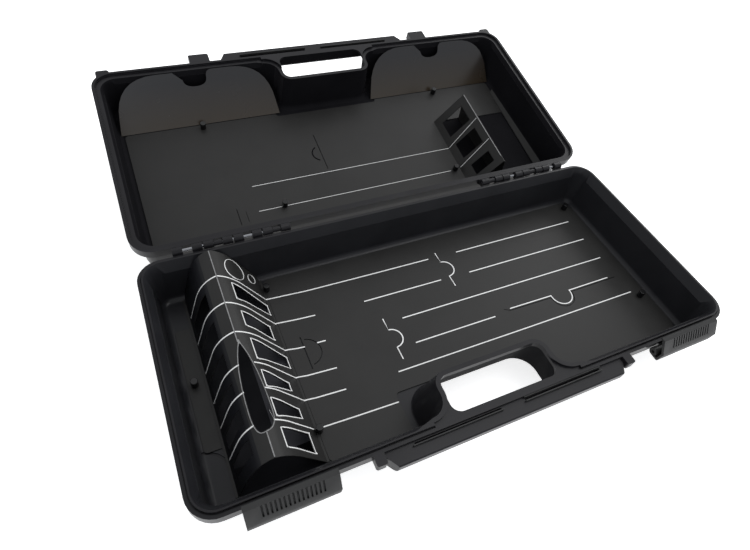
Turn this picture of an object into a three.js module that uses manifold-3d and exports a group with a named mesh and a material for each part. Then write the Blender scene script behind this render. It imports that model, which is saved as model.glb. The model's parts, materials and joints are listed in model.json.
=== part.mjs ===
// A hard case for chef's knives, lying open: two moulded halves on a rear hinge, two front latches,
// and inside each half a thin black insert with a folded bridge that the knives are held by.
// Millimetres. The base stands on z = 0 with its centre at the origin. x runs along the length,
// y from the front to the hinge. Distances named "from the left" or "from the front" start at the
// outer edge of the rim. A depth is counted from the rim of a half towards its floor.

import * as THREE from 'three';
import { mergeVertices } from 'three/addons/utils/BufferGeometryUtils.js';
import Module from 'manifold-3d';

const wasm = await Module();
wasm.setup();

// Case halves
const caseLength = 530;
const caseWidth = 240;
const baseHeight = 49;
const lidHeight = 51;
const floorThickness = 2.4;
const wallThickness = 2.5;
const wallSlope = 0.07;
const cornerRadius = 22;
const outerFootRadius = 9;
const innerFootRadius = 6;
const bandHeight = 10;
const bandOverhang = 7.3;
const bumperLength = 14;
const bumperBulge = 3.5;
const bumperFromEnd = 7;
const bumperRadius = 3;

// Raised frame on the lid's outer face
const lidFrameHeight = 3.8;
const lidFrameInset = 18;
const lidFrameWidth = 10;

// Seal between the halves
const rimSeam = 0.3;
const tongueInset = 4;
const tongueHeight = 2.5;

// Handle: one half of the grip on each half of the case, round one hand hole
const gripLength = 240;
const gripDepth = 16;
const gripReach = 14;
const gripRecess = 3;
const gripEdgeRadius = 6;
const gripLipWidth = 5;
const gripEndStraight = 4;
const gripEndSlant = 7;
const handHoleWidth = 107;
const handHoleFront = 7;
const baseHoleBack = 40.5;
const lidHoleBack = 38.5;
const handHoleRadius = 9;
const bayFlareRadius = 20.5;
const bayWallThickness = 3.5;
const bayRoofThickness = 3;
const bayCornerRadius = 1;
const baseBaySlope = 0.27;
const baseBayFootRadius = 2;

// Lugs beside the grip
const baseEarWidth = 9;
const baseEarReach = 9;
const lidLugWidth = 23;
const lidLugReach = 13;
const lidLugGap = 13.5;
const lugHeight = 8;
const earGap = 1;
const lugRadius = 2;

// Rear hinge: two groups of four units, and each unit is two knuckles with a window between
const hingeFromEnd = 35;
const hingeUnitLength = 27.7;
const hingeUnitGap = 1.3;
const hingeUnits = 4;
const knuckleLength = 9.4;
const knuckleRadius = 4.2;
const hingeAxisReach = 4.8;
const hingeAxisRise = 0.6;
const hingePinRadius = 1.6;
const hingeWebDrop = 8;
const tableGap = 0.2;

// Latches
const latchFromEnd = 35;
const latchLength = 70;
const latchWall = 2;
const latchReach = 13;
const latchHook = 1.8;
const latchPivotReach = 4.5;
const latchPivotDrop = 7;
const latchBarrelRadius = 4;
const latchPinRadius = 1.25;
const latchPinEndGap = 2;
const latchRestAngle = 10;
const latchSlopeFoot = 1.5;
const latchEdge = 1;
const bracketWidth = 6;
const bracketFromEnd = 13;
const bracketRadius = 3.2;
const bracketWebDrop = 0.8;

// Inserts
const sheetThickness = 1;
const sheetCornerRadius = 12;
const sheetNotchRadius = 4;
const baseNotchMargin = { side: 5.3, back: 0.4 };
const lidNotchMargin = { side: 2.5, back: 4 };
const foldLand = 2;

// Knife bridge in the base, measured from the left and up from the sheet's top face
const bridgeLeft = 35;
const bridgeRight = 109;
const bridgeFront = 22.5;
const bridgeCrest = 66;
const bridgeHeight = 56;
const bridgeShoulder = { x: 44.5, height: 31 };
const bridgeBrow = { x: 86, height: 37.3 };
const bridgeCurve = { left: 51, right: 76, drop: 4 };
const tabFront = 65;
const tabBack = 188;
const tabRadius = 3;
const windowTop = 78.3;
const rightWindows = [
  { top: [174, 191], foot: [176.5, 186.2], reach: 106.3 },
  { top: [144.2, 158.3], foot: [142.2, 156], reach: 100.2 },
  { top: [109.8, 128.8], foot: [114.6, 124.8], reach: 106.3 },
  { top: [83.1, 97.2], foot: [87, 93], reach: 98.3 },
  { top: [56.4, 71.2], foot: [60.5, 67.4], reach: 98.8 },
  { top: [30.4, 45.1], foot: [28.8, 45.2], reach: 99.5 },
];
const leftWindows = [[169, 187], [138, 156], [106, 123], [84, 95], [58, 71], [33, 46]];
const leftWindowFoot = 37.5;
const leftWindowTop = 53;
const steelHole = {
  back: 124, front: 44, middle: 62, left: 58.5, right: 75, centre: 67, nose: 64, taper: 20,
};

// Bridge in the lid, measured from the right
const lidBridgeFoot = 131;
const lidBridgeCrest = 101;
const lidBridgeCrestWidth = 3;
const lidBridgeCrestDrop = 2;
const lidBridgeBackFoot = 91;
const lidBridgeHeight = 43.2;
const lidBridgeFront = 106;
const lidWindowTop = 106.3;
const lidWindows = [
  { span: [117, 142], foot: 125.5 },
  { span: [155.5, 179.5], foot: 124.8 },
  { span: [194, 210], foot: 122.5 },
];

// Card flaps that lean from the lid insert's front edge against the lid's front wall
const flapCrease = 50.4;
const flapCreaseDepth = 46.9;
const flapTop = { y: 11.5, depth: 1 };
const flapLeft = 15.6;
const flapBayGap = 6;
const flapSideRise = 17;
const flapSideLean = 2.5;
const flapCornerPull = 5;
const flapCornerReach = 51;
const flapThickness = 0.8;
const flapNotchWidth = 27;
const flapNotchDepth = 17;
const flapShoulder = 8;

// Studs that hold the inserts down, from the left and front, or from the right and rear where negative
const studHeadRadius = 3.3;
const studHeadHeight = 8;
const studShankRadius = 2.2;
const baseStuds = [[24.6, 128], [112, 50], [113, -32], [-30, 68], [-30, -28]];
const lidStuds = [[106, 56], [-109, 56], [165, -52], [-139, -52]];

// Fits and smoothness
const clearance = 0.3;
const arcSteps = 4;
const footSteps = 4;
const roundSides = 16;

const front = -caseWidth / 2;
const rear = caseWidth / 2;
const fromLeft = (x) => x - caseLength / 2;
const fromRight = (x) => caseLength / 2 - x;
const fromFront = (y) => front + y;
const cavityInset = bandOverhang + wallThickness;
const cavityDepth = { base: baseHeight - floorThickness, lid: lidHeight - floorThickness };
const axisY = rear + hingeAxisReach;
const axisZ = baseHeight + hingeAxisRise;

// A half turns a depth below its own rim into a height, with the lid closed
const base = {
  z: (depth) => baseHeight - depth, height: baseHeight, cavity: cavityDepth.base,
  holeBack: baseHoleBack, baySlope: baseBaySlope, bayFoot: baseBayFootRadius,
};
const lid = {
  z: (depth) => baseHeight + rimSeam + depth, height: lidHeight, cavity: cavityDepth.lid,
  holeBack: lidHoleBack, baySlope: wallSlope, bayFoot: innerFootRadius,
};

/** Solid of a closed geometry, with its shared corners merged. */
function solid(geometry) {
  const bare = geometry.clone();
  bare.deleteAttribute('normal');
  bare.deleteAttribute('uv');
  const merged = mergeVertices(bare, 1e-4);
  return new wasm.Manifold(new wasm.Mesh({
    numProp: 3,
    vertProperties: new Float32Array(merged.attributes.position.array),
    triVerts: new Uint32Array(merged.index.array),
  }));
}

/** Closed shape through the points, each [x, y]. */
function polygon(points) {
  return new THREE.Shape(points.map(([x, y]) => new THREE.Vector2(x, y)));
}

/** Rectangle with round corners. */
function roundedRect(left, right, low, high, radius) {
  const shape = new THREE.Shape();
  shape.absarc(right - radius, high - radius, radius, 0, Math.PI / 2);
  shape.absarc(left + radius, high - radius, radius, Math.PI / 2, Math.PI);
  shape.absarc(left + radius, low + radius, radius, Math.PI, 1.5 * Math.PI);
  shape.absarc(right - radius, low + radius, radius, 1.5 * Math.PI, 2 * Math.PI);
  return shape;
}

/** The case's outline, drawn in by an inset all round. */
function rimShape(inset) {
  const radius = Math.max(cornerRadius - inset, 3);
  const halfLength = caseLength / 2 - inset;
  return roundedRect(-halfLength, halfLength, front + inset, rear - inset, radius);
}

/** Extrusion of a plan shape between two heights. */
function slab(shape, heights) {
  const low = Math.min(...heights);
  const depth = Math.max(...heights) - low;
  const geometry = new THREE.ExtrudeGeometry(shape, { depth, bevelEnabled: false, curveSegments: arcSteps });
  return solid(geometry.translate(0, 0, low));
}

/** Extrusion along x of a section given in y and z. */
function barAlongX(shape, left, right) {
  const options = { depth: right - left, bevelEnabled: false, curveSegments: arcSteps };
  const geometry = new THREE.ExtrudeGeometry(shape, options).translate(0, 0, left);
  const turn = new THREE.Matrix4().makeBasis(
    new THREE.Vector3(0, 1, 0), new THREE.Vector3(0, 0, 1), new THREE.Vector3(1, 0, 0));
  return solid(geometry.applyMatrix4(turn));
}

/** Extrusion along y of a section given in x and z. */
function barAlongY(shape, low, high) {
  const options = { depth: high - low, bevelEnabled: false, curveSegments: arcSteps };
  const geometry = new THREE.ExtrudeGeometry(shape, options).translate(0, 0, -high);
  const turn = new THREE.Matrix4().makeBasis(
    new THREE.Vector3(1, 0, 0), new THREE.Vector3(0, 0, 1), new THREE.Vector3(0, -1, 0));
  return solid(geometry.applyMatrix4(turn));
}

/** Round rod along x. */
function rodAlongX(radius, left, right, y, z) {
  const geometry = new THREE.CylinderGeometry(radius, radius, right - left, roundSides);
  geometry.rotateZ(Math.PI / 2).translate((left + right) / 2, y, z);
  return solid(geometry);
}

/** Round rod along z. */
function rodAlongZ(radius, heights, x, y) {
  const low = Math.min(...heights);
  const high = Math.max(...heights);
  const geometry = new THREE.CylinderGeometry(radius, radius, high - low, roundSides);
  geometry.rotateX(Math.PI / 2).translate(x, y, (low + high) / 2);
  return solid(geometry);
}

/** Skin over level rings of as many points each, closed at both ends. */
function loft(levels) {
  const rings = levels.map(({ shape, z }) => {
    const points = shape.getPoints(arcSteps);
    if (points[0].distanceTo(points[points.length - 1]) < 1e-6) points.pop();
    if (THREE.ShapeUtils.isClockWise(points)) points.reverse();
    return { points, z };
  }).sort((one, other) => one.z - other.z);
  const count = rings[0].points.length;
  const positions = rings.flatMap(({ points, z }) => points.flatMap((point) => [point.x, point.y, z]));
  const faces = [];
  for (let ring = 0; ring + 1 < rings.length; ring++) {
    for (let corner = 0; corner < count; corner++) {
      const here = ring * count + corner;
      const next = ring * count + (corner + 1) % count;
      faces.push(here, next, next + count, here, next + count, here + count);
    }
  }
  const last = (rings.length - 1) * count;
  for (const [a, b, c] of THREE.ShapeUtils.triangulateShape(rings[0].points, [])) faces.push(a, c, b);
  for (const [a, b, c] of THREE.ShapeUtils.triangulateShape(rings.at(-1).points, [])) {
    faces.push(last + a, last + b, last + c);
  }
  const geometry = new THREE.BufferGeometry();
  geometry.setAttribute('position', new THREE.Float32BufferAttribute(positions, 3));
  geometry.setIndex(faces);
  return solid(geometry);
}

/** Levels of a tray wall: how far it is drawn in at each depth, with a round foot at the floor. */
function trayLevels(topInset, startDepth, endDepth, footRadius, slope = wallSlope) {
  const insetAt = (depth) => topInset + slope * Math.max(depth, 0);
  const footStart = endDepth - footRadius;
  const levels = [startDepth, footStart].map((depth) => ({ inset: insetAt(depth), depth }));
  for (let step = 1; step <= footSteps; step++) {
    const angle = (step / footSteps) * Math.PI / 2;
    levels.push({
      inset: insetAt(footStart) + footRadius * (1 - Math.cos(angle)),
      depth: footStart + footRadius * Math.sin(angle),
    });
  }
  return levels;
}

/** Plan of a half's hand bay, grown by an offset; it flares where it opens through the front wall. */
function bayShape(half, grow, frontGrow = grow) {
  const halfWidth = handHoleWidth / 2;
  const flare = Math.max(bayFlareRadius - grow, bayCornerRadius);
  const flareX = halfWidth + grow + flare;
  const flareY = fromFront(cavityInset - bayWallThickness + frontGrow + flare);
  const back = fromFront(half.holeBack) + grow;
  const corner = handHoleRadius + grow;
  const ahead = front - 2 * gripReach;
  const shape = new THREE.Shape();
  shape.moveTo(-flareX, ahead);
  shape.absarc(-flareX, flareY, flare, -Math.PI / 2, 0, false);
  shape.absarc(-halfWidth - grow + corner, back - corner, corner, Math.PI, Math.PI / 2, true);
  shape.absarc(halfWidth + grow - corner, back - corner, corner, Math.PI / 2, 0, true);
  shape.absarc(flareX, flareY, flare, Math.PI, 1.5 * Math.PI, false);
  shape.lineTo(flareX, ahead);
  return shape;
}

/** Space inside a half, with the wall round the hand bay left standing in it. */
function cavity(half) {
  const aboveRim = -2 * tongueHeight;
  const levels = trayLevels(cavityInset, aboveRim, half.cavity, innerFootRadius);
  const room = loft(levels.map(({ inset, depth }) => ({ shape: rimShape(inset), z: half.z(depth) })));
  const bayLevels = trayLevels(bayWallThickness, aboveRim - 1, half.cavity, half.bayFoot, half.baySlope);
  bayLevels.at(-1).depth += 1;
  const bay = loft(bayLevels.map(({ inset, depth }) => {
    const frontGrow = bayWallThickness + wallSlope * Math.max(depth, 0);
    return { shape: bayShape(half, inset, frontGrow), z: half.z(depth) };
  }));
  return room.subtract(bay);
}

/** Bay under the flange, open through the floor and through the front wall. */
function bayCut(half) {
  const through = half.height + 2 * lidFrameHeight;
  return loft([bayRoofThickness, through].map((depth) => (
    { shape: bayShape(half, half.baySlope * depth, wallSlope * depth), z: half.z(depth) })));
}

/** Grip half with round outer edges, a recessed face and slanted ends. */
function grip(half) {
  const inner = fromFront(handHoleFront);
  const outer = front - gripReach;
  const section = new THREE.Shape();
  section.moveTo(inner, half.z(0));
  section.lineTo(inner - gripLipWidth, half.z(0));
  section.lineTo(inner - gripLipWidth, half.z(gripRecess));
  section.lineTo(outer + 1, half.z(gripRecess));
  section.lineTo(outer, half.z(gripRecess + 1));
  section.lineTo(outer, half.z(gripDepth - gripEdgeRadius));
  section.quadraticCurveTo(outer, half.z(gripDepth), outer + gripEdgeRadius, half.z(gripDepth));
  section.lineTo(inner - gripEdgeRadius, half.z(gripDepth));
  section.quadraticCurveTo(inner, half.z(gripDepth), inner, half.z(gripDepth - gripEdgeRadius));
  const halfLength = gripLength / 2;
  const plan = slab(polygon([
    [-halfLength, inner + 1], [-halfLength, front - gripEndStraight],
    [-halfLength + gripEndSlant, outer - 1], [halfLength - gripEndSlant, outer - 1],
    [halfLength, front - gripEndStraight], [halfLength, inner + 1],
  ]), [half.z(-1), half.z(gripDepth + 1)]);
  return barAlongX(section, -halfLength, halfLength).intersect(plan);
}

/** One moulded half: walls, rim band and hand bay, before what only one half has. */
function shell(half, extras) {
  const wall = trayLevels(bandOverhang, 1, half.height, outerFootRadius);
  let body = loft(wall.map(({ inset, depth }) => ({ shape: rimShape(inset), z: half.z(depth) })));
  body = body.add(slab(rimShape(0), [half.z(0), half.z(bandHeight)]));
  for (const extra of extras) body = body.add(extra);
  body = body.subtract(cavity(half)).subtract(bayCut(half)).add(grip(half));
  const halfHole = handHoleWidth / 2;
  const hole = roundedRect(
    -halfHole, halfHole, fromFront(handHoleFront), fromFront(half.holeBack), handHoleRadius);
  return body.subtract(slab(hole, [half.z(-1), half.z(bandHeight + gripDepth)]));
}

/** Strip that follows the rim and the hand bay between two depths; grown, it is the groove's room. */
function tongue(half, depths, grow) {
  const strip = slab(rimShape(tongueInset - grow), depths.map(half.z));
  const reach = handHoleWidth / 2 + bayFlareRadius + 2 * clearance - 2 * grow;
  const mouth = polygon([
    [-reach, front - 1], [reach, front - 1],
    [reach, fromFront(cavityInset - bayWallThickness)], [-reach, fromFront(cavityInset - bayWallThickness)],
  ]);
  const heights = [half.z(Math.min(...depths) - 1), half.z(Math.max(...depths) + 1)];
  return strip.subtract(slab(bayShape(half, -grow), heights)).subtract(slab(mouth, heights));
}

/** Left ends of one hinge group's units, for the group at the left or at the right. */
function hingeUnitStarts(side) {
  const pitch = hingeUnitLength + hingeUnitGap;
  return Array.from({ length: hingeUnits }, (_, index) => {
    const start = fromLeft(hingeFromEnd + index * pitch);
    return side < 0 ? start : -start - hingeUnitLength;
  });
}

/** Knuckles of one half: the base has the outermost unit of each group and every second one after it. */
function knuckles(half, first) {
  const out = half === base ? -1 : 1;
  const web = polygon([
    [rear - 1, half.z(0)], [axisY, half.z(0)], [axisY, axisZ + out * knuckleRadius],
    [rear - 1, half.z(hingeWebDrop)],
  ]);
  const pieces = [];
  for (const side of [-1, 1]) {
    hingeUnitStarts(side).filter((_, index) => index % 2 === first).forEach((start) => {
      for (const left of [start, start + hingeUnitLength - knuckleLength]) {
        const right = left + knuckleLength;
        pieces.push(rodAlongX(knuckleRadius, left, right, axisY, axisZ).add(barAlongX(web, left, right)));
      }
    });
  }
  return pieces;
}

/** Ends of one hinge group along x. */
function hingeSpan(side) {
  const starts = hingeUnitStarts(side);
  return [Math.min(...starts), Math.max(...starts) + hingeUnitLength];
}

/** Holes for both hinge pins. */
function hingeBore() {
  const rods = [-1, 1].map((side) => {
    const [left, right] = hingeSpan(side);
    return rodAlongX(hingePinRadius + clearance, left - 1, right + 1, axisY, axisZ);
  });
  return rods[0].add(rods[1]);
}

/** Left end of a latch. */
function latchLeft(side) {
  return side < 0 ? fromLeft(latchFromEnd) : -fromLeft(latchFromEnd) - latchLength;
}

const latchY = front - latchPivotReach;
const latchZ = base.z(latchPivotDrop);

/** Left ends of the two brackets that carry a latch. */
function bracketStarts(side) {
  const left = latchLeft(side);
  return [left + bracketFromEnd, left + latchLength - bracketFromEnd - bracketWidth];
}

/** Brackets for both latches, without their pin holes. */
function brackets() {
  const web = polygon([
    [latchY, latchZ + bracketRadius], [front + 1, latchZ + bracketRadius],
    [front + 1, latchZ - bracketWebDrop], [latchY, latchZ - bracketRadius],
  ]);
  return [-1, 1].flatMap((side) => bracketStarts(side).map((left) => (
    rodAlongX(bracketRadius, left, left + bracketWidth, latchY, latchZ)
      .add(barAlongX(web, left, left + bracketWidth)))));
}

/** Hole for a latch pin. */
function latchBore(side) {
  const left = latchLeft(side);
  return rodAlongX(latchPinRadius + clearance, left - 1, left + latchLength + 1, latchY, latchZ);
}

/** Places of the studs of a half. */
function studPlaces(list) {
  return list.map(([x, y]) => [x < 0 ? fromRight(-x) : fromLeft(x), y < 0 ? rear + y : fromFront(y)]);
}

/** Holes for the studs' shanks, through floor and insert. */
function studBores(half, list) {
  const heights = [half.z(half.cavity - 2 * studHeadHeight), half.z(half.height + 1)];
  return studPlaces(list).map(([x, y]) => rodAlongZ(studShankRadius + clearance, heights, x, y));
}

/** Bottom half of the case. */
function baseShell() {
  const halfGrip = gripLength / 2;
  const ear = (left) => slab(
    roundedRect(left, left + baseEarWidth, front - baseEarReach, front + lugRadius, lugRadius),
    [base.z(0), base.z(lugHeight)]);
  const extras = [
    tongue(base, [-tongueHeight, 1], 0), ...knuckles(base, 0), ...brackets(),
    ear(-halfGrip - baseEarWidth - earGap), ear(halfGrip + earGap),
  ];
  let body = shell(base, extras).subtract(hingeBore());
  for (const side of [-1, 1]) body = body.subtract(latchBore(side));
  for (const bore of studBores(base, baseStuds)) body = body.subtract(bore);
  return body;
}

/** Top half of the case, drawn closed. */
function lidShell() {
  const frameHeights = [lid.z(lidHeight - floorThickness / 2), lid.z(lidHeight + lidFrameHeight)];
  const frame = slab(rimShape(lidFrameInset), frameHeights)
    .subtract(slab(rimShape(lidFrameInset + lidFrameWidth), [lid.z(0), lid.z(2 * lidHeight)]));
  const lugStart = gripLength / 2 + lidLugGap;
  const bandHeights = [lid.z(0), lid.z(bandHeight)];
  const lug = (left) => slab(
    roundedRect(left, left + lidLugWidth, front - lidLugReach, front + lugRadius, lugRadius),
    [lid.z(0), lid.z(lugHeight)]);
  const bumper = (left) => slab(
    roundedRect(left, left + bumperLength, front - bumperBulge, front + bumperFromEnd, bumperRadius),
    bandHeights);
  const bumperStart = caseLength / 2 - bumperFromEnd - bumperLength;
  const extras = [
    frame, ...knuckles(lid, 1), lug(-lugStart - lidLugWidth), lug(lugStart),
    bumper(-bumperStart - bumperLength), bumper(bumperStart),
  ];
  let body = shell(lid, extras).subtract(hingeBore());
  body = body.subtract(tongue(lid, [-1, tongueHeight + clearance], clearance));
  for (const bore of studBores(lid, lidStuds)) body = body.subtract(bore);
  return body;
}

/** Latch lever: an open channel that turns on its barrel and hooks over the lid's band. */
function latch(side) {
  const left = latchLeft(side);
  const right = left + latchLength;
  const hookLow = lid.z(bandHeight) + clearance;
  const hookHigh = hookLow + latchWall;
  const face = front - latchReach;
  const foot = latchZ - latchBarrelRadius;
  const section = polygon([
    [front + latchHook, hookLow], [front + latchHook, hookHigh], [front - latchWall - clearance, hookHigh],
    [face + latchEdge, baseHeight + latchSlopeFoot], [face, foot + latchWall],
    [face + latchEdge, foot + latchEdge], [latchY, foot],
    [latchY, foot + latchWall], [face + latchWall, foot + latchWall + latchEdge],
    [face + latchWall + latchEdge, baseHeight + latchSlopeFoot - latchEdge], [front - clearance, hookLow],
  ]);
  let lever = barAlongX(section, left, right).add(rodAlongX(latchBarrelRadius, left, right, latchY, latchZ));
  for (const start of bracketStarts(side)) {
    const room = rodAlongX(
      latchBarrelRadius + clearance, start - clearance, start + bracketWidth + clearance, latchY, latchZ);
    lever = lever.subtract(room);
  }
  return lever.subtract(latchBore(side));
}

/** Section of a bent sheet: its upper face is the path, and its lower face lies one thickness below. */
function sheetSection(path, thickness) {
  const points = path.getPoints(arcSteps * 2);
  const lower = points.map((point, index) => {
    const before = points[Math.max(index - 1, 0)];
    const after = points[Math.min(index + 1, points.length - 1)];
    const along = after.clone().sub(before).normalize();
    return new THREE.Vector2(point.x + along.y * thickness, point.y - along.x * thickness);
  });
  return new THREE.Shape([...points, ...lower.reverse()]);
}

/** Plan trapezoid between two lines of constant x, with its spans measured from the front. */
function trapezoid(xTop, topSpan, xFoot, footSpan) {
  return polygon([
    [xTop, fromFront(topSpan[0])], [xFoot, fromFront(footSpan[0])],
    [xFoot, fromFront(footSpan[1])], [xTop, fromFront(topSpan[1])],
  ]);
}

/** Tear-shaped hole for the sharpening steel, round at its front end. */
function steelHoleShape() {
  const { back, front: near, middle, left, right, centre, nose, taper } = steelHole;
  const shape = new THREE.Shape();
  shape.moveTo(fromLeft(centre), fromFront(back));
  shape.quadraticCurveTo(fromLeft(left), fromFront(back - taper), fromLeft(left), fromFront(middle));
  shape.quadraticCurveTo(fromLeft(left), fromFront(near), fromLeft(nose), fromFront(near));
  shape.quadraticCurveTo(fromLeft(right), fromFront(near), fromLeft(right), fromFront(middle));
  shape.quadraticCurveTo(fromLeft(right), fromFront(back - taper), fromLeft(centre), fromFront(back));
  return shape;
}

/** Depth of a sheet's upper face. */
function sheetTopDepth(half) {
  return half.cavity - clearance - sheetThickness;
}

/** How far a wall and its round foot stand in from where the wall starts at the rim. */
function footReach(half) {
  return wallSlope * (half.cavity - innerFootRadius) + innerFootRadius;
}

/** Notch that an insert has round the hand bay. */
function bayNotch(half, margin) {
  const top = half.z(sheetTopDepth(half));
  const reach = half.baySlope * (half.cavity - half.bayFoot) + half.bayFoot;
  const room = bayWallThickness + reach;
  const halfWidth = handHoleWidth / 2 + room + margin.side;
  const back = fromFront(half.holeBack + room + margin.back);
  const shape = roundedRect(-halfWidth, halfWidth, front, back, sheetNotchRadius);
  return slab(shape, [top - 2 * sheetThickness, top + 2 * sheetThickness]);
}

/** Room that the bridge's rear end keeps clear of: the rear wall with its foot, and the closed lid's wall. */
function rearTrim() {
  const gap = 2 * clearance;
  const floor = base.z(base.cavity);
  const foot = rear - cavityInset - footReach(base) - gap;
  const crestRise = base.z(sheetTopDepth(base)) + bridgeHeight - baseHeight;
  const wall = rear - cavityInset - gap - wallSlope * crestRise;
  const section = polygon([
    [foot, 0], [rear, 0], [rear, 2 * baseHeight], [wall, 2 * baseHeight], [wall, baseHeight],
    [foot + innerFootRadius, floor + innerFootRadius], [foot, floor],
  ]);
  return barAlongX(section, fromLeft(bridgeLeft - 2 * foldLand), fromLeft(bridgeRight + 2 * foldLand));
}

/** Flat part of the base insert, from a round-cornered plan between two lines of constant x. */
function flatSheet(left, right, near, back, radius, limits) {
  const top = base.z(sheetTopDepth(base));
  const plate = slab(roundedRect(left, right, near, back, radius), [top - sheetThickness, top]);
  const [from, to] = limits;
  const span = slab(polygon([[from, front], [to, front], [to, rear], [from, rear]]), [0, baseHeight]);
  let sheet = plate.intersect(span).subtract(bayNotch(base, baseNotchMargin));
  for (const bore of studBores(base, baseStuds)) sheet = sheet.subtract(bore);
  return sheet;
}

/** Base insert to the right of the knife bridge. */
function baseSheet() {
  const edge = cavityInset + footReach(base);
  const start = fromLeft(bridgeRight + foldLand) + clearance;
  return flatSheet(
    start - foldLand, fromRight(edge), fromFront(edge), rear - edge, sheetCornerRadius, [start, caseLength]);
}

/** Tab of the base insert to the left of the knife bridge. */
function baseTab() {
  const end = fromLeft(bridgeLeft - foldLand) - clearance;
  return flatSheet(
    fromLeft(cavityInset + footReach(base)), end + 2 * tabRadius, fromFront(tabFront), fromFront(tabBack),
    tabRadius, [-caseLength, end]);
}

/** Folded part of the base insert: the knife bridge with its windows and the hole for the steel. */
function baseBridge() {
  const top = base.z(sheetTopDepth(base));
  const curveHeight = top + bridgeHeight - bridgeCurve.drop;
  const path = new THREE.Path();
  path.moveTo(fromLeft(bridgeLeft - foldLand), top);
  path.lineTo(fromLeft(bridgeLeft), top);
  path.lineTo(fromLeft(bridgeShoulder.x), top + bridgeShoulder.height);
  path.quadraticCurveTo(fromLeft(bridgeCurve.left), curveHeight, fromLeft(bridgeCrest), top + bridgeHeight);
  path.quadraticCurveTo(
    fromLeft(bridgeCurve.right), curveHeight, fromLeft(bridgeBrow.x), top + bridgeBrow.height);
  path.lineTo(fromLeft(bridgeRight), top);
  path.lineTo(fromLeft(bridgeRight + foldLand), top);
  let bridge = barAlongY(sheetSection(path, sheetThickness), fromFront(bridgeFront), rear);
  bridge = bridge.subtract(rearTrim());
  const through = [top, top + 2 * bridgeHeight];
  for (const { top: topSpan, foot, reach } of rightWindows) {
    bridge = bridge.subtract(slab(trapezoid(fromLeft(windowTop), topSpan, fromLeft(reach), foot), through));
  }
  for (const span of leftWindows) {
    const window = trapezoid(fromLeft(leftWindowFoot), span, fromLeft(leftWindowTop), span);
    bridge = bridge.subtract(slab(window, through));
  }
  for (const bore of studBores(base, baseStuds)) bridge = bridge.subtract(bore);
  return bridge.subtract(slab(steelHoleShape(), through));
}

/** Lid insert, drawn closed, with its own smaller bridge. */
function lidSheet() {
  const top = lid.z(sheetTopDepth(lid));
  const heights = [top, top + sheetThickness];
  const edge = cavityInset + footReach(lid);
  const back = rear - edge;
  const near = fromFront(flapCrease + 2 * clearance);
  const field = slab(roundedRect(fromLeft(edge), fromRight(edge), near, back, sheetNotchRadius), heights);
  const underBridge = slab(polygon([
    [fromRight(lidBridgeFoot) + foldLand / 2, fromFront(lidBridgeFront)],
    [fromRight(lidBridgeBackFoot) - foldLand / 2, fromFront(lidBridgeFront)],
    [fromRight(lidBridgeBackFoot) - foldLand / 2, back - foldLand],
    [fromRight(lidBridgeFoot) + foldLand / 2, back - foldLand],
  ]), [top - 2 * sheetThickness, top + 2 * sheetThickness]);
  const path = new THREE.Path();
  path.moveTo(fromRight(lidBridgeBackFoot - foldLand), top);
  path.lineTo(fromRight(lidBridgeBackFoot), top);
  path.lineTo(fromRight(lidBridgeCrest - lidBridgeCrestWidth), top - lidBridgeHeight + lidBridgeCrestDrop);
  path.lineTo(fromRight(lidBridgeCrest), top - lidBridgeHeight);
  path.lineTo(fromRight(lidBridgeFoot), top);
  path.lineTo(fromRight(lidBridgeFoot + foldLand), top);
  let bridge = barAlongY(sheetSection(path, sheetThickness), fromFront(lidBridgeFront), back - foldLand);
  for (const { span, foot } of lidWindows) {
    const window = trapezoid(fromRight(lidWindowTop), span, fromRight(foot), span);
    bridge = bridge.subtract(slab(window, [top - 2 * lidBridgeHeight, top]));
  }
  let sheet = field.subtract(bayNotch(lid, lidNotchMargin)).subtract(underBridge).add(bridge);
  for (const bore of studBores(lid, lidStuds)) sheet = sheet.subtract(bore);
  return sheet;
}

const flapLean = Math.atan2(flapCreaseDepth - flapTop.depth, flapCrease - flapTop.y);
const flapHeight = Math.hypot(flapCreaseDepth - flapTop.depth, flapCrease - flapTop.y);

/** Card flap lying in its own plane: x along the case, y up from the crease. */
function cardFlap(side) {
  const outer = fromLeft(flapLeft);
  const inner = -handHoleWidth / 2 - bayWallThickness - flapBayGap;
  const middle = (outer + inner) / 2;
  const half = (inner - outer) / 2;
  const pull = half - flapSideLean - flapCornerPull;
  const notch = flapNotchWidth / 2;
  const notchFoot = flapHeight - flapNotchDepth;
  const shape = new THREE.Shape();
  shape.moveTo(-half, 0);
  shape.lineTo(half, 0);
  shape.lineTo(half - flapSideLean, flapSideRise);
  shape.quadraticCurveTo(pull, flapHeight, half - flapCornerReach, flapHeight);
  shape.lineTo(notch + flapShoulder, flapHeight);
  shape.quadraticCurveTo(notch, flapHeight, notch, flapHeight - flapShoulder);
  shape.quadraticCurveTo(notch, notchFoot, 0, notchFoot);
  shape.quadraticCurveTo(-notch, notchFoot, -notch, flapHeight - flapShoulder);
  shape.quadraticCurveTo(-notch, flapHeight, -notch - flapShoulder, flapHeight);
  shape.lineTo(flapCornerReach - half, flapHeight);
  shape.quadraticCurveTo(-pull, flapHeight, flapSideLean - half, flapSideRise);
  const options = { depth: flapThickness, bevelEnabled: false, curveSegments: 2 * arcSteps };
  const geometry = new THREE.ExtrudeGeometry(shape, options);
  return solid(geometry.translate(-side * middle, 0, -flapThickness));
}

/** Stud with a tall head over the insert and a shank down into the floor. */
function stud(half, [x, y]) {
  const top = sheetTopDepth(half) - clearance;
  const head = rodAlongZ(studHeadRadius, [half.z(top), half.z(top - studHeadHeight)], x, y);
  return head.add(rodAlongZ(studShankRadius, [half.z(top - 1), half.z(half.height - clearance)], x, y));
}

/** Steel pin of one hinge group. */
function hingePin(side) {
  const [left, right] = hingeSpan(side);
  return rodAlongX(hingePinRadius, left + 1, right - 1, axisY, axisZ);
}

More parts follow.
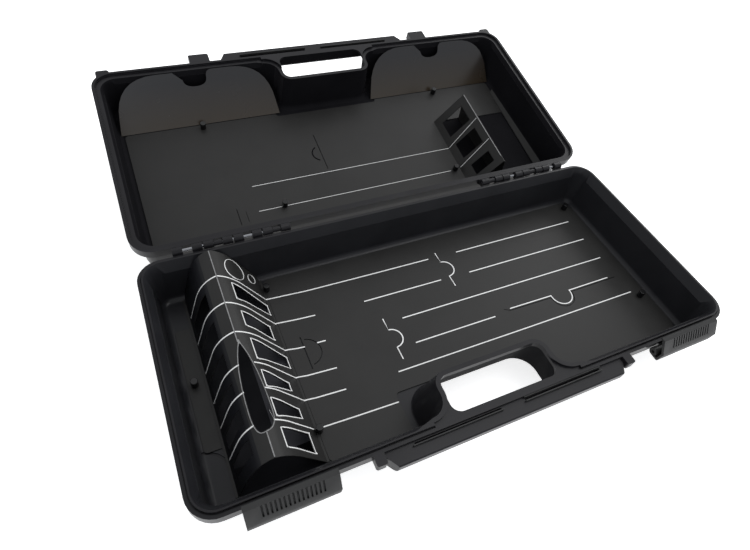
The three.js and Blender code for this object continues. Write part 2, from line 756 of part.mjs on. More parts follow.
/** Steel pin of one latch. */
function latchPin(side) {
  const left = latchLeft(side) + latchPinEndGap;
  return rodAlongX(latchPinRadius, left, left + latchLength - 2 * latchPinEndGap, latchY, latchZ);
}

const finishes = {
  shell: { color: 0x141416, roughness: 0.45, metalness: 0 },
  latch: { color: 0x1c1c1e, roughness: 0.35, metalness: 0 },
  sheet: { color: 0x0d0d0f, roughness: 0.5, metalness: 0 },
  card: { color: 0x35322c, roughness: 0.2, metalness: 0 },
  stud: { color: 0x101012, roughness: 0.5, metalness: 0 },
  steel: { color: 0xc4c6ca, roughness: 0.25, metalness: 1 },
};

/** Named mesh of a solid, with a material of its own. */
function part(name, body, finish) {
  const { vertProperties, triVerts } = body.getMesh();
  const geometry = new THREE.BufferGeometry();
  geometry.setAttribute('position', new THREE.BufferAttribute(new Float32Array(vertProperties), 3));
  geometry.setIndex(new THREE.BufferAttribute(new Uint32Array(triVerts), 1));
  geometry.computeVertexNormals();
  const mesh = new THREE.Mesh(geometry, new THREE.MeshStandardMaterial(finishes[finish]));
  mesh.name = name;
  return mesh;
}

/** Group turned about a line along x through y and z, for pieces drawn before the turn. */
function turned(angle, y, z, pieces) {
  const pivot = new THREE.Group();
  const inner = new THREE.Group();
  pivot.position.set(0, y, z);
  pivot.rotation.x = angle;
  inner.position.set(0, -y, -z);
  inner.add(...pieces);
  pivot.add(inner);
  return pivot;
}

/** Angle to which the lid opens: its raised frame then stands on the table behind the base. */
function openAngle() {
  const back = axisY - (rear - lidFrameInset);
  const up = lid.z(lidHeight + lidFrameHeight) - axisZ;
  return Math.atan2(back, up) + Math.acos(-(axisZ - tableGap) / Math.hypot(back, up));
}

const sides = [['left', -1], ['right', 1]];
const model = new THREE.Group();
model.name = 'knife_case';
model.add(part('base_shell', baseShell(), 'shell'), part('base_sheet', baseSheet(), 'sheet'));
model.add(part('base_tab', baseTab(), 'sheet'), part('base_bridge', baseBridge(), 'sheet'));
studPlaces(baseStuds).forEach((place, index) => {
  model.add(part(`base_stud_${index + 1}`, stud(base, place), 'stud'));
});

for (const [name, side] of sides) {
  model.add(part(`${name}_hinge_pin`, hingePin(side), 'steel'));
  model.add(part(`${name}_latch_pin`, latchPin(side), 'steel'));
  const lever = part(`${name}_latch`, latch(side), 'latch');
  model.add(turned(THREE.MathUtils.degToRad(latchRestAngle), latchY, latchZ, [lever]));
}

const lidPieces = [part('lid_shell', lidShell(), 'shell'), part('lid_sheet', lidSheet(), 'sheet')];
studPlaces(lidStuds).forEach((place, index) => {
  lidPieces.push(part(`lid_stud_${index + 1}`, stud(lid, place), 'stud'));
});
for (const [name, side] of sides) {
  const flap = part(`${name}_card_flap`, cardFlap(side), 'card');
  const crease = new THREE.Group();
  crease.position.set(0, fromFront(flapCrease), lid.z(flapCreaseDepth));
  crease.rotation.x = Math.PI + flapLean;
  crease.add(flap);
  lidPieces.push(crease);
}
model.add(turned(-openAngle(), axisY, axisZ, lidPieces));

export default model;
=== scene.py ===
"""Looks of a hard case for chef's knives, lying open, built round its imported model.

Sizes are written in millimetres, as on a drawing. Plan points are counted from the left front corner
of the rim, heights from the table. Pieces of the lid are made as if the case were closed, then turned
open about the hinge.
"""

from __future__ import annotations

import json
import logging
import math
from collections.abc import Callable, Iterator, Sequence
from contextlib import contextmanager
from dataclasses import dataclass
from enum import Enum

import bpy
from mathutils import Matrix, Vector

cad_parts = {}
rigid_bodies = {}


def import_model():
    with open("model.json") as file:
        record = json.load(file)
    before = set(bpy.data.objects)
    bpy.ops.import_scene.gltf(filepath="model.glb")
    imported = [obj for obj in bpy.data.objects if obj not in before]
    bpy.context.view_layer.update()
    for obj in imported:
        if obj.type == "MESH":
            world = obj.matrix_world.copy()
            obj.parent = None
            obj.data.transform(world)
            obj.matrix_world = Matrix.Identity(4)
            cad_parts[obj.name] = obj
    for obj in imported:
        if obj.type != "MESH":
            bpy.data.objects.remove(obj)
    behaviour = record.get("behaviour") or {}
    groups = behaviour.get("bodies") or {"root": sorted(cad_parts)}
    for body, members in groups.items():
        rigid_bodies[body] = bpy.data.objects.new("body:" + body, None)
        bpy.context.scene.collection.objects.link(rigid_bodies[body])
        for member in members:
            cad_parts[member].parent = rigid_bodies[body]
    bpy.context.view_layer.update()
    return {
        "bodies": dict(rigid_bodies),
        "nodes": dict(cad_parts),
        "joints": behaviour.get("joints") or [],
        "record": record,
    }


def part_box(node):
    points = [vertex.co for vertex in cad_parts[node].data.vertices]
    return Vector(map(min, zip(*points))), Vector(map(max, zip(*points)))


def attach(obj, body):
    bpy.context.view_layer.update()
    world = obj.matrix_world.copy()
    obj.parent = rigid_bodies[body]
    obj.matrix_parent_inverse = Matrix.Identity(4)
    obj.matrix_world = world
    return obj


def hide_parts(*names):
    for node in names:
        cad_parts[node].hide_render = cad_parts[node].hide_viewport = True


log = logging.getLogger("knife_case")

MM = 0.001
CASE_LENGTH = 530.0
CASE_WIDTH = 240.0
BASE_HEIGHT = 49.0
RIM_SEAM = 0.3
SMOOTH_ANGLE = math.radians(35)  # edges that are sharper stay sharp
FLAT_ANGLE = math.radians(0.4)  # edges between faces this flat to each other are taken out
WELD_GAP = 0.002 * MM  # corners nearer than this are one
HAIR = 0.1 * MM  # room in which two places count as level
FACING = 0.9  # share of a normal along an axis from which its face looks that way

Plan = tuple[float, float]
Stretch = tuple[float, float, float]
Colour = tuple[float, float, float]
Piece = bpy.types.Object
Material = bpy.types.Material


class Half(Enum):
    """The two halves of the case: name of the body and the way the insert's open face looks."""

    BASE = ("base", 1.0)
    LID = ("lid", -1.0)

    @property
    def body(self) -> str:
        """Name of the body that the half's pieces ride on."""
        return self.value[0]

    @property
    def facing(self) -> float:
        """1 where the insert looks up in the closed case, -1 where it looks down."""
        return self.value[1]


class Side(Enum):
    """Left and right end of the case."""

    LEFT = -1
    RIGHT = 1

    @property
    def word(self) -> str:
        """The side's name in the names of nodes."""
        return self.name.lower()


def spot(x: float, y: float, z: float) -> Vector:
    """Point in metres, x and y millimetres off the rim's left front corner and z over the table."""
    return Vector((x - CASE_LENGTH / 2, y - CASE_WIDTH / 2, z)) * MM


@dataclass(frozen=True)
class Box:
    """Space between two corners, as in the closed case."""

    low: Vector
    high: Vector

    def holds(self, place: Vector) -> bool:
        """Whether a place lies inside."""
        return all(low < value < high for low, value, high in zip(self.low, place, self.high))


# Work on the bench: small wrappers round the operators


def deselect_all() -> None:
    """Leaves nothing selected."""
    bpy.ops.object.select_all(action="DESELECT")


def activate(piece: Piece) -> None:
    """Makes one object the only selected one and the active one.

    Args:
        piece: The object to work on.
    """
    deselect_all()
    piece.select_set(True)
    bpy.context.view_layer.objects.active = piece


@contextmanager
def edit_mode(piece: Piece, mode: str = "VERT", select: str = "DESELECT") -> Iterator[None]:
    """Opens a piece in edit mode, and closes it after.

    Args:
        piece: The object to edit.
        mode: VERT, EDGE or FACE.
        select: SELECT or DESELECT, for all of it at first.

    Returns:
        A context in which mesh operators act on the piece.
    """
    activate(piece)
    bpy.ops.object.mode_set(mode="EDIT")
    bpy.ops.mesh.select_mode(type=mode)
    bpy.ops.mesh.select_all(action=select)
    try:
        yield
    finally:
        bpy.ops.object.mode_set(mode="OBJECT")


def select_faces(piece: Piece, test: Callable[[Vector, Vector], bool]) -> None:
    """Selects faces by their centre and normal, from inside edit mode in FACE mode.

    Args:
        piece: The object in edit mode.
        test: Says whether a face with this centre and normal is wanted.
    """
    bpy.ops.object.mode_set(mode="OBJECT")
    for face in piece.data.polygons:
        face.select = test(face.center, face.normal)
    bpy.ops.object.mode_set(mode="EDIT")


def select_upright_edges(piece: Piece) -> None:
    """Selects the edges that stand upright, from inside edit mode in EDGE mode.

    Args:
        piece: The object in edit mode.
    """
    bpy.ops.object.mode_set(mode="OBJECT")
    corners = piece.data.vertices
    for edge in piece.data.edges:
        one, two = (corners[index].co for index in edge.vertices)
        edge.select = (one - two).xy.length < HAIR
    bpy.ops.object.mode_set(mode="EDIT")


def apply_modifier(piece: Piece, kind: str, **settings: object) -> None:
    """Adds a modifier with its settings and applies it.

    Args:
        piece: The object that gets the modifier.
        kind: Blender's type name of the modifier.
        **settings: Values of its properties.
    """
    activate(piece)
    modifier = piece.modifiers.new(kind.lower(), kind)
    for name, value in settings.items():
        setattr(modifier, name, value)
    bpy.ops.object.modifier_apply(modifier=modifier.name)


def settle(piece: Piece) -> Piece:
    """Puts a piece's place, turn and size into its mesh.

    Args:
        piece: The object to settle.

    Returns:
        The same object, at the origin.
    """
    activate(piece)
    bpy.ops.object.transform_apply(location=True, rotation=True, scale=True)
    return piece


def smooth(piece: Piece) -> None:
    """Shades a piece smooth, except over its sharp edges, with its wide faces kept flat.

    Args:
        piece: The object to shade.
    """
    activate(piece)
    bpy.ops.object.shade_smooth_by_angle(angle=SMOOTH_ANGLE)
    apply_modifier(piece, "WEIGHTED_NORMAL", keep_sharp=True)


def block(name: str, low: Vector, high: Vector) -> Piece:
    """Box between two corners, ready to be shaped.

    Args:
        name: Name of the object.
        low: Lowest corner in metres.
        high: Highest corner in metres.

    Returns:
        The settled box.
    """
    deselect_all()
    bpy.ops.mesh.primitive_cube_add(size=1, location=(low + high) / 2, scale=high - low)
    piece = bpy.context.active_object
    piece.name = piece.data.name = name
    return settle(piece)


def rod(name: str, radius: float, start: Vector, end: Vector, sides: int = 24) -> Piece:
    """Round rod between two points.

    Args:
        name: Name of the object.
        radius: Radius in metres.
        start: One end.
        end: Other end.
        sides: Number of faces round it.

    Returns:
        The settled rod.
    """
    deselect_all()
    along = end - start
    turn = along.to_track_quat("Z", "Y").to_euler()
    bpy.ops.mesh.primitive_cylinder_add(
        vertices=sides, radius=radius, depth=along.length, location=(start + end) / 2, rotation=turn)
    piece = bpy.context.active_object
    piece.name = piece.data.name = name
    return settle(piece)


def wire(name: str, points: Sequence[Plan], height: float, cuts: int = 0, closed: bool = False) -> Piece:
    """Bare line through plan points at one height, drawn by pulling one corner on from point to point.

    Args:
        name: Name of the object.
        points: Plan points in millimetres.
        height: Height over the table in millimetres.
        cuts: Cuts made in each stretch, so that the line can follow a curved face.
        closed: Whether the line ends where it starts.

    Returns:
        The line, as a mesh of edges.
    """
    deselect_all()
    bpy.ops.mesh.primitive_plane_add(size=MM, location=spot(*points[0], height))
    piece = settle(bpy.context.active_object)
    piece.name = piece.data.name = name
    with edit_mode(piece, select="SELECT"):
        bpy.ops.mesh.merge(type="CENTER")
        for before, after in zip(points, points[1:]):
            step = spot(*after, height) - spot(*before, height)
            bpy.ops.mesh.extrude_vertices_move(TRANSFORM_OT_translate={"value": step})
        bpy.ops.mesh.select_all(action="SELECT")
        if closed:
            bpy.ops.mesh.remove_doubles(threshold=WELD_GAP)
        if cuts:
            bpy.ops.mesh.select_mode(type="EDGE")
            bpy.ops.mesh.select_all(action="SELECT")
            bpy.ops.mesh.subdivide(number_cuts=cuts)
    return piece


def drop_unmoved(piece: Piece, before: Sequence[Vector]) -> None:
    """Takes the corners out of a line that found nothing to lie on, and joins their neighbours.

    Args:
        piece: The line after it was dropped on a surface.
        before: Places of its corners before.
    """
    with edit_mode(piece):
        bpy.ops.object.mode_set(mode="OBJECT")
        for corner, old in zip(piece.data.vertices, before):
            corner.select = (corner.co - old).length < WELD_GAP
        bpy.ops.object.mode_set(mode="EDIT")
        bpy.ops.mesh.dissolve_verts()


def thicken(piece: Piece, width: float, rise: float) -> None:
    """Turns a bare line into a strip: pulled up, then given its width to both sides.

    Args:
        piece: The line.
        width: Width in millimetres.
        rise: Height of the strip in millimetres, down where negative.
    """
    with edit_mode(piece, "EDGE", "SELECT"):
        bpy.ops.mesh.extrude_edges_move(TRANSFORM_OT_translate={"value": (0, 0, rise * MM)})
    apply_modifier(piece, "SOLIDIFY", thickness=width * MM, offset=0.0, use_even_offset=True)
    with edit_mode(piece, "FACE", "SELECT"):
        bpy.ops.mesh.normals_make_consistent(inside=False)


def carve(piece: Piece, cutter: Piece) -> None:
    """Cuts a closed body out of a piece and throws the cutter away."""
    apply_modifier(piece, "BOOLEAN", operation="DIFFERENCE", object=cutter, solver="EXACT")
    bpy.data.objects.remove(cutter, do_unlink=True)


def joined(name: str, pieces: Sequence[Piece]) -> Piece:
    """Several objects made one.

    Args:
        name: Name of the result.
        pieces: The objects, of which the first stays.

    Returns:
        The joined object.
    """
    activate(pieces[0])
    for piece in pieces[1:]:
        piece.select_set(True)
    if len(pieces) > 1:
        bpy.ops.object.join()
    pieces[0].name = pieces[0].data.name = name
    return pieces[0]


def duplicate(piece: Piece) -> Piece:
    """Copies a piece, with a mesh of its own.

    Args:
        piece: The object to copy.

    Returns:
        The copy.
    """
    copy = piece.copy()
    copy.data = piece.data.copy()
    bpy.context.scene.collection.objects.link(copy)
    return copy


def moulding(name: str, nodes: Sequence[str], frame: dict) -> Piece:
    """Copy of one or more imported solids, with shared corners merged and flat faces made whole.

    Args:
        name: Name of the copy.
        nodes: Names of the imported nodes.

    Returns:
        The copy, ready to be finished.
    """
    copies = []
    for node in nodes:
        source = frame["nodes"][node]
        piece = bpy.data.objects.new(name, source.data.copy())
        bpy.context.scene.collection.objects.link(piece)
        piece.data.materials.clear()
        activate(piece)
        bpy.ops.mesh.customdata_custom_splitnormals_clear()
        with edit_mode(piece, select="SELECT"):
            bpy.ops.mesh.remove_doubles(threshold=WELD_GAP)
            bpy.ops.mesh.dissolve_limited(angle_limit=FLAT_ANGLE)
        copies.append(piece)
    return joined(name, copies)


def soften(piece: Piece, width: float, segments: int = 2, angle: float = 40.0) -> None:
    """Rounds edges sharper than an angle in degrees, to a width in millimetres."""
    apply_modifier(piece, "BEVEL", width=width * MM, segments=segments, limit_method="ANGLE",
                   angle_limit=math.radians(angle))


def dress(piece: Piece, finish: Material) -> None:
    """Gives a piece one finish all over."""
    piece.data.materials.clear()
    piece.data.materials.append(finish)


def repaint(piece: Piece, finish: Material, wanted: Callable[[Vector, Vector], bool]) -> None:
    """Gives some faces of a dressed piece a finish of their own.

    Args:
        piece: The object.
        finish: The further finish.
        wanted: Says whether a face with this centre and normal gets it.
    """
    piece.data.materials.append(finish)
    with edit_mode(piece, "FACE"):
        select_faces(piece, wanted)
        piece.active_material_index = len(piece.data.materials) - 1
        bpy.ops.object.material_slot_assign()


def report(piece: Piece) -> None:
    """Logs a finished piece with its size."""
    log.info("%s: %d faces, %.0f x %.0f x %.0f mm", piece.name, len(piece.data.polygons),
             *(side / MM for side in piece.dimensions))


# Finishes

Signal = bpy.types.NodeSocket
Layers = tuple[float, float, float]  # size, detail and roughness of a noise
MATH = "ShaderNodeMath"
VECTOR_MATH = "ShaderNodeVectorMath"


class Graph:
    """Short way to lay out a material's nodes, from signal to signal."""

    def __init__(self, name: str) -> None:
        """Starts an empty material.

        Args:
            name: Name of the material.
        """
        self.material = bpy.data.materials.new(name)
        self.material.use_nodes = True
        self.material.node_tree.nodes.clear()
        self.place = self.add("ShaderNodeTexCoord").outputs["Object"]

    def feed(self, socket: Signal, value: object) -> None:
        """Joins a signal to an input, or sets the input to a constant.

        Args:
            socket: The input.
            value: The signal or the constant.
        """
        if isinstance(value, Signal):
            self.material.node_tree.links.new(value, socket)
        else:
            socket.default_value = value

    def add(self, kind: str, **settings: object) -> bpy.types.Node:
        """Adds a node.

        Args:
            kind: Blender's type name of the node.
            **settings: Its properties, and signals or constants for its inputs, by name with
                spaces as underscores.

        Returns:
            The node.
        """
        node = self.material.node_tree.nodes.new(kind)
        for name, value in settings.items():
            socket = node.inputs.get(name.replace("_", " "))
            if socket is None:
                setattr(node, name, value)
            else:
                self.feed(socket, value)
        return node

    def compute(self, kind: str, operation: str, *terms: object, output: str | int = 0) -> Signal:
        """Result of a node of arithmetic.

        Args:
            kind: MATH or VECTOR_MATH.
            operation: Blender's name of the operation.
            *terms: Signals or constants, in the order of the node's inputs.
            output: The output that is wanted.

        Returns:
            The result.
        """
        node = self.add(kind, operation=operation)
        for socket, term in zip(node.inputs, terms):
            self.feed(socket, term)
        return node.outputs[output]

    def noise(self, size: float, detail: float, roughness: float, place: Signal | None = None) -> Signal:
        """Noise with features of a size in millimetres, on the piece's own coordinates unless given others."""
        return self.add("ShaderNodeTexNoise", Vector=self.place if place is None else place, Scale=1.0 / (size * MM),
                        Detail=detail, Roughness=roughness).outputs["Fac"]

    def spread(self, source: Signal, low: Signal | float, high: float, start: float = 0.3, stop: float = 0.7) -> Signal:
        """Maps a signal between start and stop to a value between low and high."""
        return self.add("ShaderNodeMapRange", Value=source, From_Min=start, From_Max=stop,
                        To_Min=low, To_Max=high).outputs["Result"]

    def tint(self, source: Signal, dark: Colour, light: Colour, start: float = 0.3, stop: float = 0.7) -> Signal:
        """Colour between two, led by a signal.

        Args:
            source: The signal.
            dark: Colour at its low end.
            light: Colour at its high end.
            start: Signal up to which the colour is dark.
            stop: Signal from which it is light.

        Returns:
            The colour.
        """
        node = self.add("ShaderNodeValToRGB", Fac=source)
        for mark, position, colour in zip(node.color_ramp.elements, (start, stop), (dark, light)):
            mark.position = position
            mark.color = (*colour, 1)
        return node.outputs["Color"]

    def inside(self, box: Box) -> Signal:
        """Signal that is 1 inside a box and 0 outside it.

        Args:
            box: The box.

        Returns:
            The signal.
        """
        centred = self.compute(VECTOR_MATH, "SUBTRACT", self.place, (box.low + box.high) / 2)
        scaled = self.compute(VECTOR_MATH, "DIVIDE", centred, (box.high - box.low) / 2)
        reach = self.compute(VECTOR_MATH, "ABSOLUTE", scaled)
        x, y, z = self.add("ShaderNodeSeparateXYZ", Vector=reach).outputs
        furthest = self.compute(MATH, "MAXIMUM", self.compute(MATH, "MAXIMUM", x, y), z)
        return self.compute(MATH, "LESS_THAN", furthest, 1.0)

    def relief(self, source: Signal, depth: float, **under: Signal) -> Signal:
        """Normal bent by a signal over a depth in millimetres, on top of the Normal given."""
        return self.add("ShaderNodeBump", Strength=1.0, Distance=depth * MM, Height=source, **under).outputs["Normal"]

    def surface(self, **settings: object) -> Material:
        """Ends the material with its shader.

        Args:
            **settings: Signals or constants for the shader's inputs.

        Returns:
            The material.
        """
        shader = self.add("ShaderNodeBsdfPrincipled", **settings)
        self.add("ShaderNodeOutputMaterial", Surface=shader.outputs["BSDF"])
        return self.material


@dataclass(frozen=True)
class Hollow(Box):
    """Box of painted light and shade: inside it a surface's colour is scaled by a share, darker below 1 and lighter
    above, with a sheen of its own.
    """

    share: float
    sheen: float = 0.0


@dataclass(frozen=True)
class MouldedPlastic:
    """Black moulded plastic with a fine grain, a little uneven in sheen, as polypropylene is, with painted light and
    shade in its boxes.
    """

    name: str
    dark: Colour
    light: Colour
    roughness: tuple[float, float]
    sheen: float
    grain_size: float = 0.5
    grain_depth: float = 0.01
    wave_depth: float = 0.0
    hollows: tuple[Hollow, ...] = ()
    cloud: Layers = (45.0, 4, 0.55)
    grain_layers: tuple[float, float] = (2, 0.6)
    wave: Layers = (60.0, 1, 0.4)

    def build(self) -> Material:
        """Lays out the finish.

        Returns:
            The material.
        """
        graph = Graph(self.name)
        cloud = graph.noise(*self.cloud)
        tint = graph.tint(cloud, self.dark, self.light)
        # Each box paints shade or light into the colour by its share, and sets its own sheen.
        share, sheen = 1.0, self.sheen
        for painted_box in self.hollows:
            deep = graph.inside(painted_box)
            share = graph.spread(deep, share, painted_box.share, 0.0, 1.0)
            sheen = graph.spread(deep, sheen, painted_box.sheen, 0.0, 1.0)
        if self.hollows:
            tint = graph.add(VECTOR_MATH, operation="SCALE", Vector=tint, Scale=share).outputs["Vector"]
        relief = graph.relief(graph.noise(self.grain_size, *self.grain_layers), self.grain_depth)
        if self.wave_depth:
            relief = graph.relief(graph.noise(*self.wave), self.wave_depth, Normal=relief)
        return graph.surface(Base_Color=tint, Roughness=graph.spread(cloud, *self.roughness),
                             Specular_IOR_Level=sheen, Normal=relief)


@dataclass(frozen=True)
class PrintedInk:
    """Pale screen-printed ink, slightly worn so that its cover is not quite even."""

    name: str
    dark: Colour
    light: Colour
    roughness: float = 0.55
    sheen: float = 0.3
    wear: Layers = (2.5, 3, 0.6)

    def build(self) -> Material:
        """Lays out the finish.

        Returns:
            The material.
        """
        graph = Graph(self.name)
        tint = graph.tint(graph.noise(*self.wear), self.dark, self.light)
        return graph.surface(Base_Color=tint, Roughness=self.roughness, Specular_IOR_Level=self.sheen)


@dataclass(frozen=True)
class GlossyCard:
    """Coated card, cool at its upper edge and warm near its crease."""

    name: str
    cool: Colour
    warm: Colour
    low: Vector
    high: Vector
    blend: tuple[float, float] = (0.05, 0.8)
    roughness: tuple[float, float] = (0.204, 0.288)
    sheen: float = 0.5
    cloud: Layers = (30.0, 3, 0.5)
    wave: Layers = (25.0, 1, 0.5)
    wave_depth: float = 0.12

    def build(self) -> Material:
        """Lays out the finish.

        Returns:
            The material.
        """
        graph = Graph(self.name)
        rise = (self.high - self.low) / (self.high - self.low).length_squared
        along = graph.compute(VECTOR_MATH, "DOT_PRODUCT", graph.place, rise, output="Value")
        start = self.low.dot(rise)
        level = graph.spread(along, 0.0, 1.0, start, start + 1.0)
        return graph.surface(
            Base_Color=graph.tint(level, self.warm, self.cool, *self.blend),
            Roughness=graph.spread(graph.noise(*self.cloud), *self.roughness),
            Normal=graph.relief(graph.noise(*self.wave), self.wave_depth), Specular_IOR_Level=self.sheen)


@dataclass(frozen=True)
class BrightSteel:
    """Drawn steel with faint lines along the rod."""

    name: str
    colour: Colour
    roughness: tuple[float, float]
    lines: Layers = (0.15, 2, 0.5)
    line_stretch: float = 0.04
    worn_share: float = 0.75

    def build(self) -> Material:
        """Lays out the finish.

        Returns:
            The material.
        """
        graph = Graph(self.name)
        stretched = graph.add("ShaderNodeMapping", Vector=graph.place, Scale=(self.line_stretch, 1.0, 1.0))
        lines = graph.noise(*self.lines, stretched.outputs["Vector"])
        worn = tuple(self.worn_share * part for part in self.colour)
        return graph.surface(Base_Color=graph.tint(lines, worn, self.colour),
                             Roughness=graph.spread(lines, *self.roughness), Metallic=1.0)


class Palette:
    """Every finish of the case, built once."""

    def __init__(self) -> None:
        """Builds the materials."""
        shell_grain = {"grain_size": 0.8, "grain_depth": 0.015, "wave_depth": 0.4}
        # Inner walls and floor of the base: a lighter, bluish copy of the shell plastic, as painted light and painted
        # reflection. Its boxes paint shade under the bridge's front arch, under its left part and by the tab's crescent
        # groove, and paint light under its right part.
        self.walls = MouldedPlastic(
            "wall_plastic", (0.0138, 0.014, 0.016), (0.0188, 0.019, 0.0216), (0.3, 0.4), 0.2, 0.8, 0.012, 0.4, (
                Hollow(spot(36.5, 6, 0), spot(107, 45, 4.5), 0.5),
                Hollow(spot(36.5, 45, 0), spot(76, 236, 4.5), 0.9, 0.03),
                Hollow(spot(76, 45, 0), spot(107, 236, 4.5), 3.5, 0.15),
                Hollow(spot(10, 45, 0.2), spot(36, 72, 2.2), 0.5))).build()
        self.shell = MouldedPlastic(
            "shell_plastic", (0.0112, 0.0109, 0.0124), (0.0152, 0.0148, 0.0168), (0.28, 0.38), 0.18,
            **shell_grain).build()
        # Inner faces of the lid: a darker, dull copy of the shell plastic, as painted shade.
        self.cavity = MouldedPlastic(
            "cavity_plastic", (0.008, 0.0078, 0.009), (0.011, 0.0108, 0.0125), (0.6, 0.7), 0.02, **shell_grain).build()
        # Faces of the base's hand bay: darker and dull, as painted shade.
        self.bay = MouldedPlastic(
            "bay_plastic", (0.008, 0.008, 0.009), (0.011, 0.011, 0.0125), (0.6, 0.7), 0.02, 0.8, 0.015).build()
        self.latch = MouldedPlastic(
            "latch_plastic", (0.018, 0.018, 0.018), (0.025, 0.025, 0.025), (0.46, 0.56), 0.28, 0.6, 0.04).build()
        self.sheet = MouldedPlastic(
            "insert_plastic", (0.017, 0.0167, 0.0162), (0.022, 0.0216, 0.021), (0.4, 0.48), 0.22).build()
        self.stud = MouldedPlastic(
            "stud_plastic", (0.004, 0.004, 0.0045), (0.007, 0.007, 0.0075), (0.2, 0.28), 0.35).build()
        self.shaded = MouldedPlastic(
            "shaded_sheet", (0.0075, 0.0078, 0.0095), (0.01, 0.0104, 0.0125), (0.35, 0.45), 0.15).build()
        self.ink = PrintedInk("white_ink", (0.78, 0.78, 0.77), (0.9, 0.9, 0.89)).build()
        # Grey lines on the inserts' crests and round the steel's hole: worn, whitened folds, with painted highlight
        # along the crests.
        self.fold = PrintedInk("worn_fold", (0.16, 0.16, 0.16), (0.26, 0.26, 0.26)).build()
        self.steel = BrightSteel("pin_steel", (0.3, 0.305, 0.32), (0.1, 0.16)).build()


# Sub-assemblies


@dataclass(frozen=True)
class Hinge:
    """Where the lid turns, and by how much it stands open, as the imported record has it."""

    frame: dict

    @property
    def opening(self) -> Matrix:
        """Turn from the closed place of a lid piece to its opened place.

        Returns:
            The turn about the hinge's axis.
        """
        joint = next(joint for joint in self.frame["joints"] if joint["name"] == "lid_hinge")
        place = Vector(joint["pos_m"])
        angle = -math.radians(joint["range_deg"][1])
        return Matrix.Translation(place) @ Matrix.Rotation(angle, 4, "X") @ Matrix.Translation(-place)

    def stand(self, piece: Piece, half: Half) -> Piece:
        """Turns a piece of the lid to its opened place; one of the base stays.

        Args:
            piece: The piece, made as in the closed case.
            half: The half that it belongs to.

        Returns:
            The same piece.
        """
        if half is Half.LID:
            piece.matrix_world = self.opening
            settle(piece)
        return piece


@dataclass(frozen=True)
class Kit:
    """What every sub-assembly is built with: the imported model, its hinge and the finishes."""

    frame: dict
    hinge: Hinge
    palette: Palette


@dataclass(frozen=True)
class Lining:
    """Faces of a shell with a finish of their own, which paints light and shade into them: those in a box that look
    towards a point.
    """

    finish: Material
    box: Box
    middle: Vector


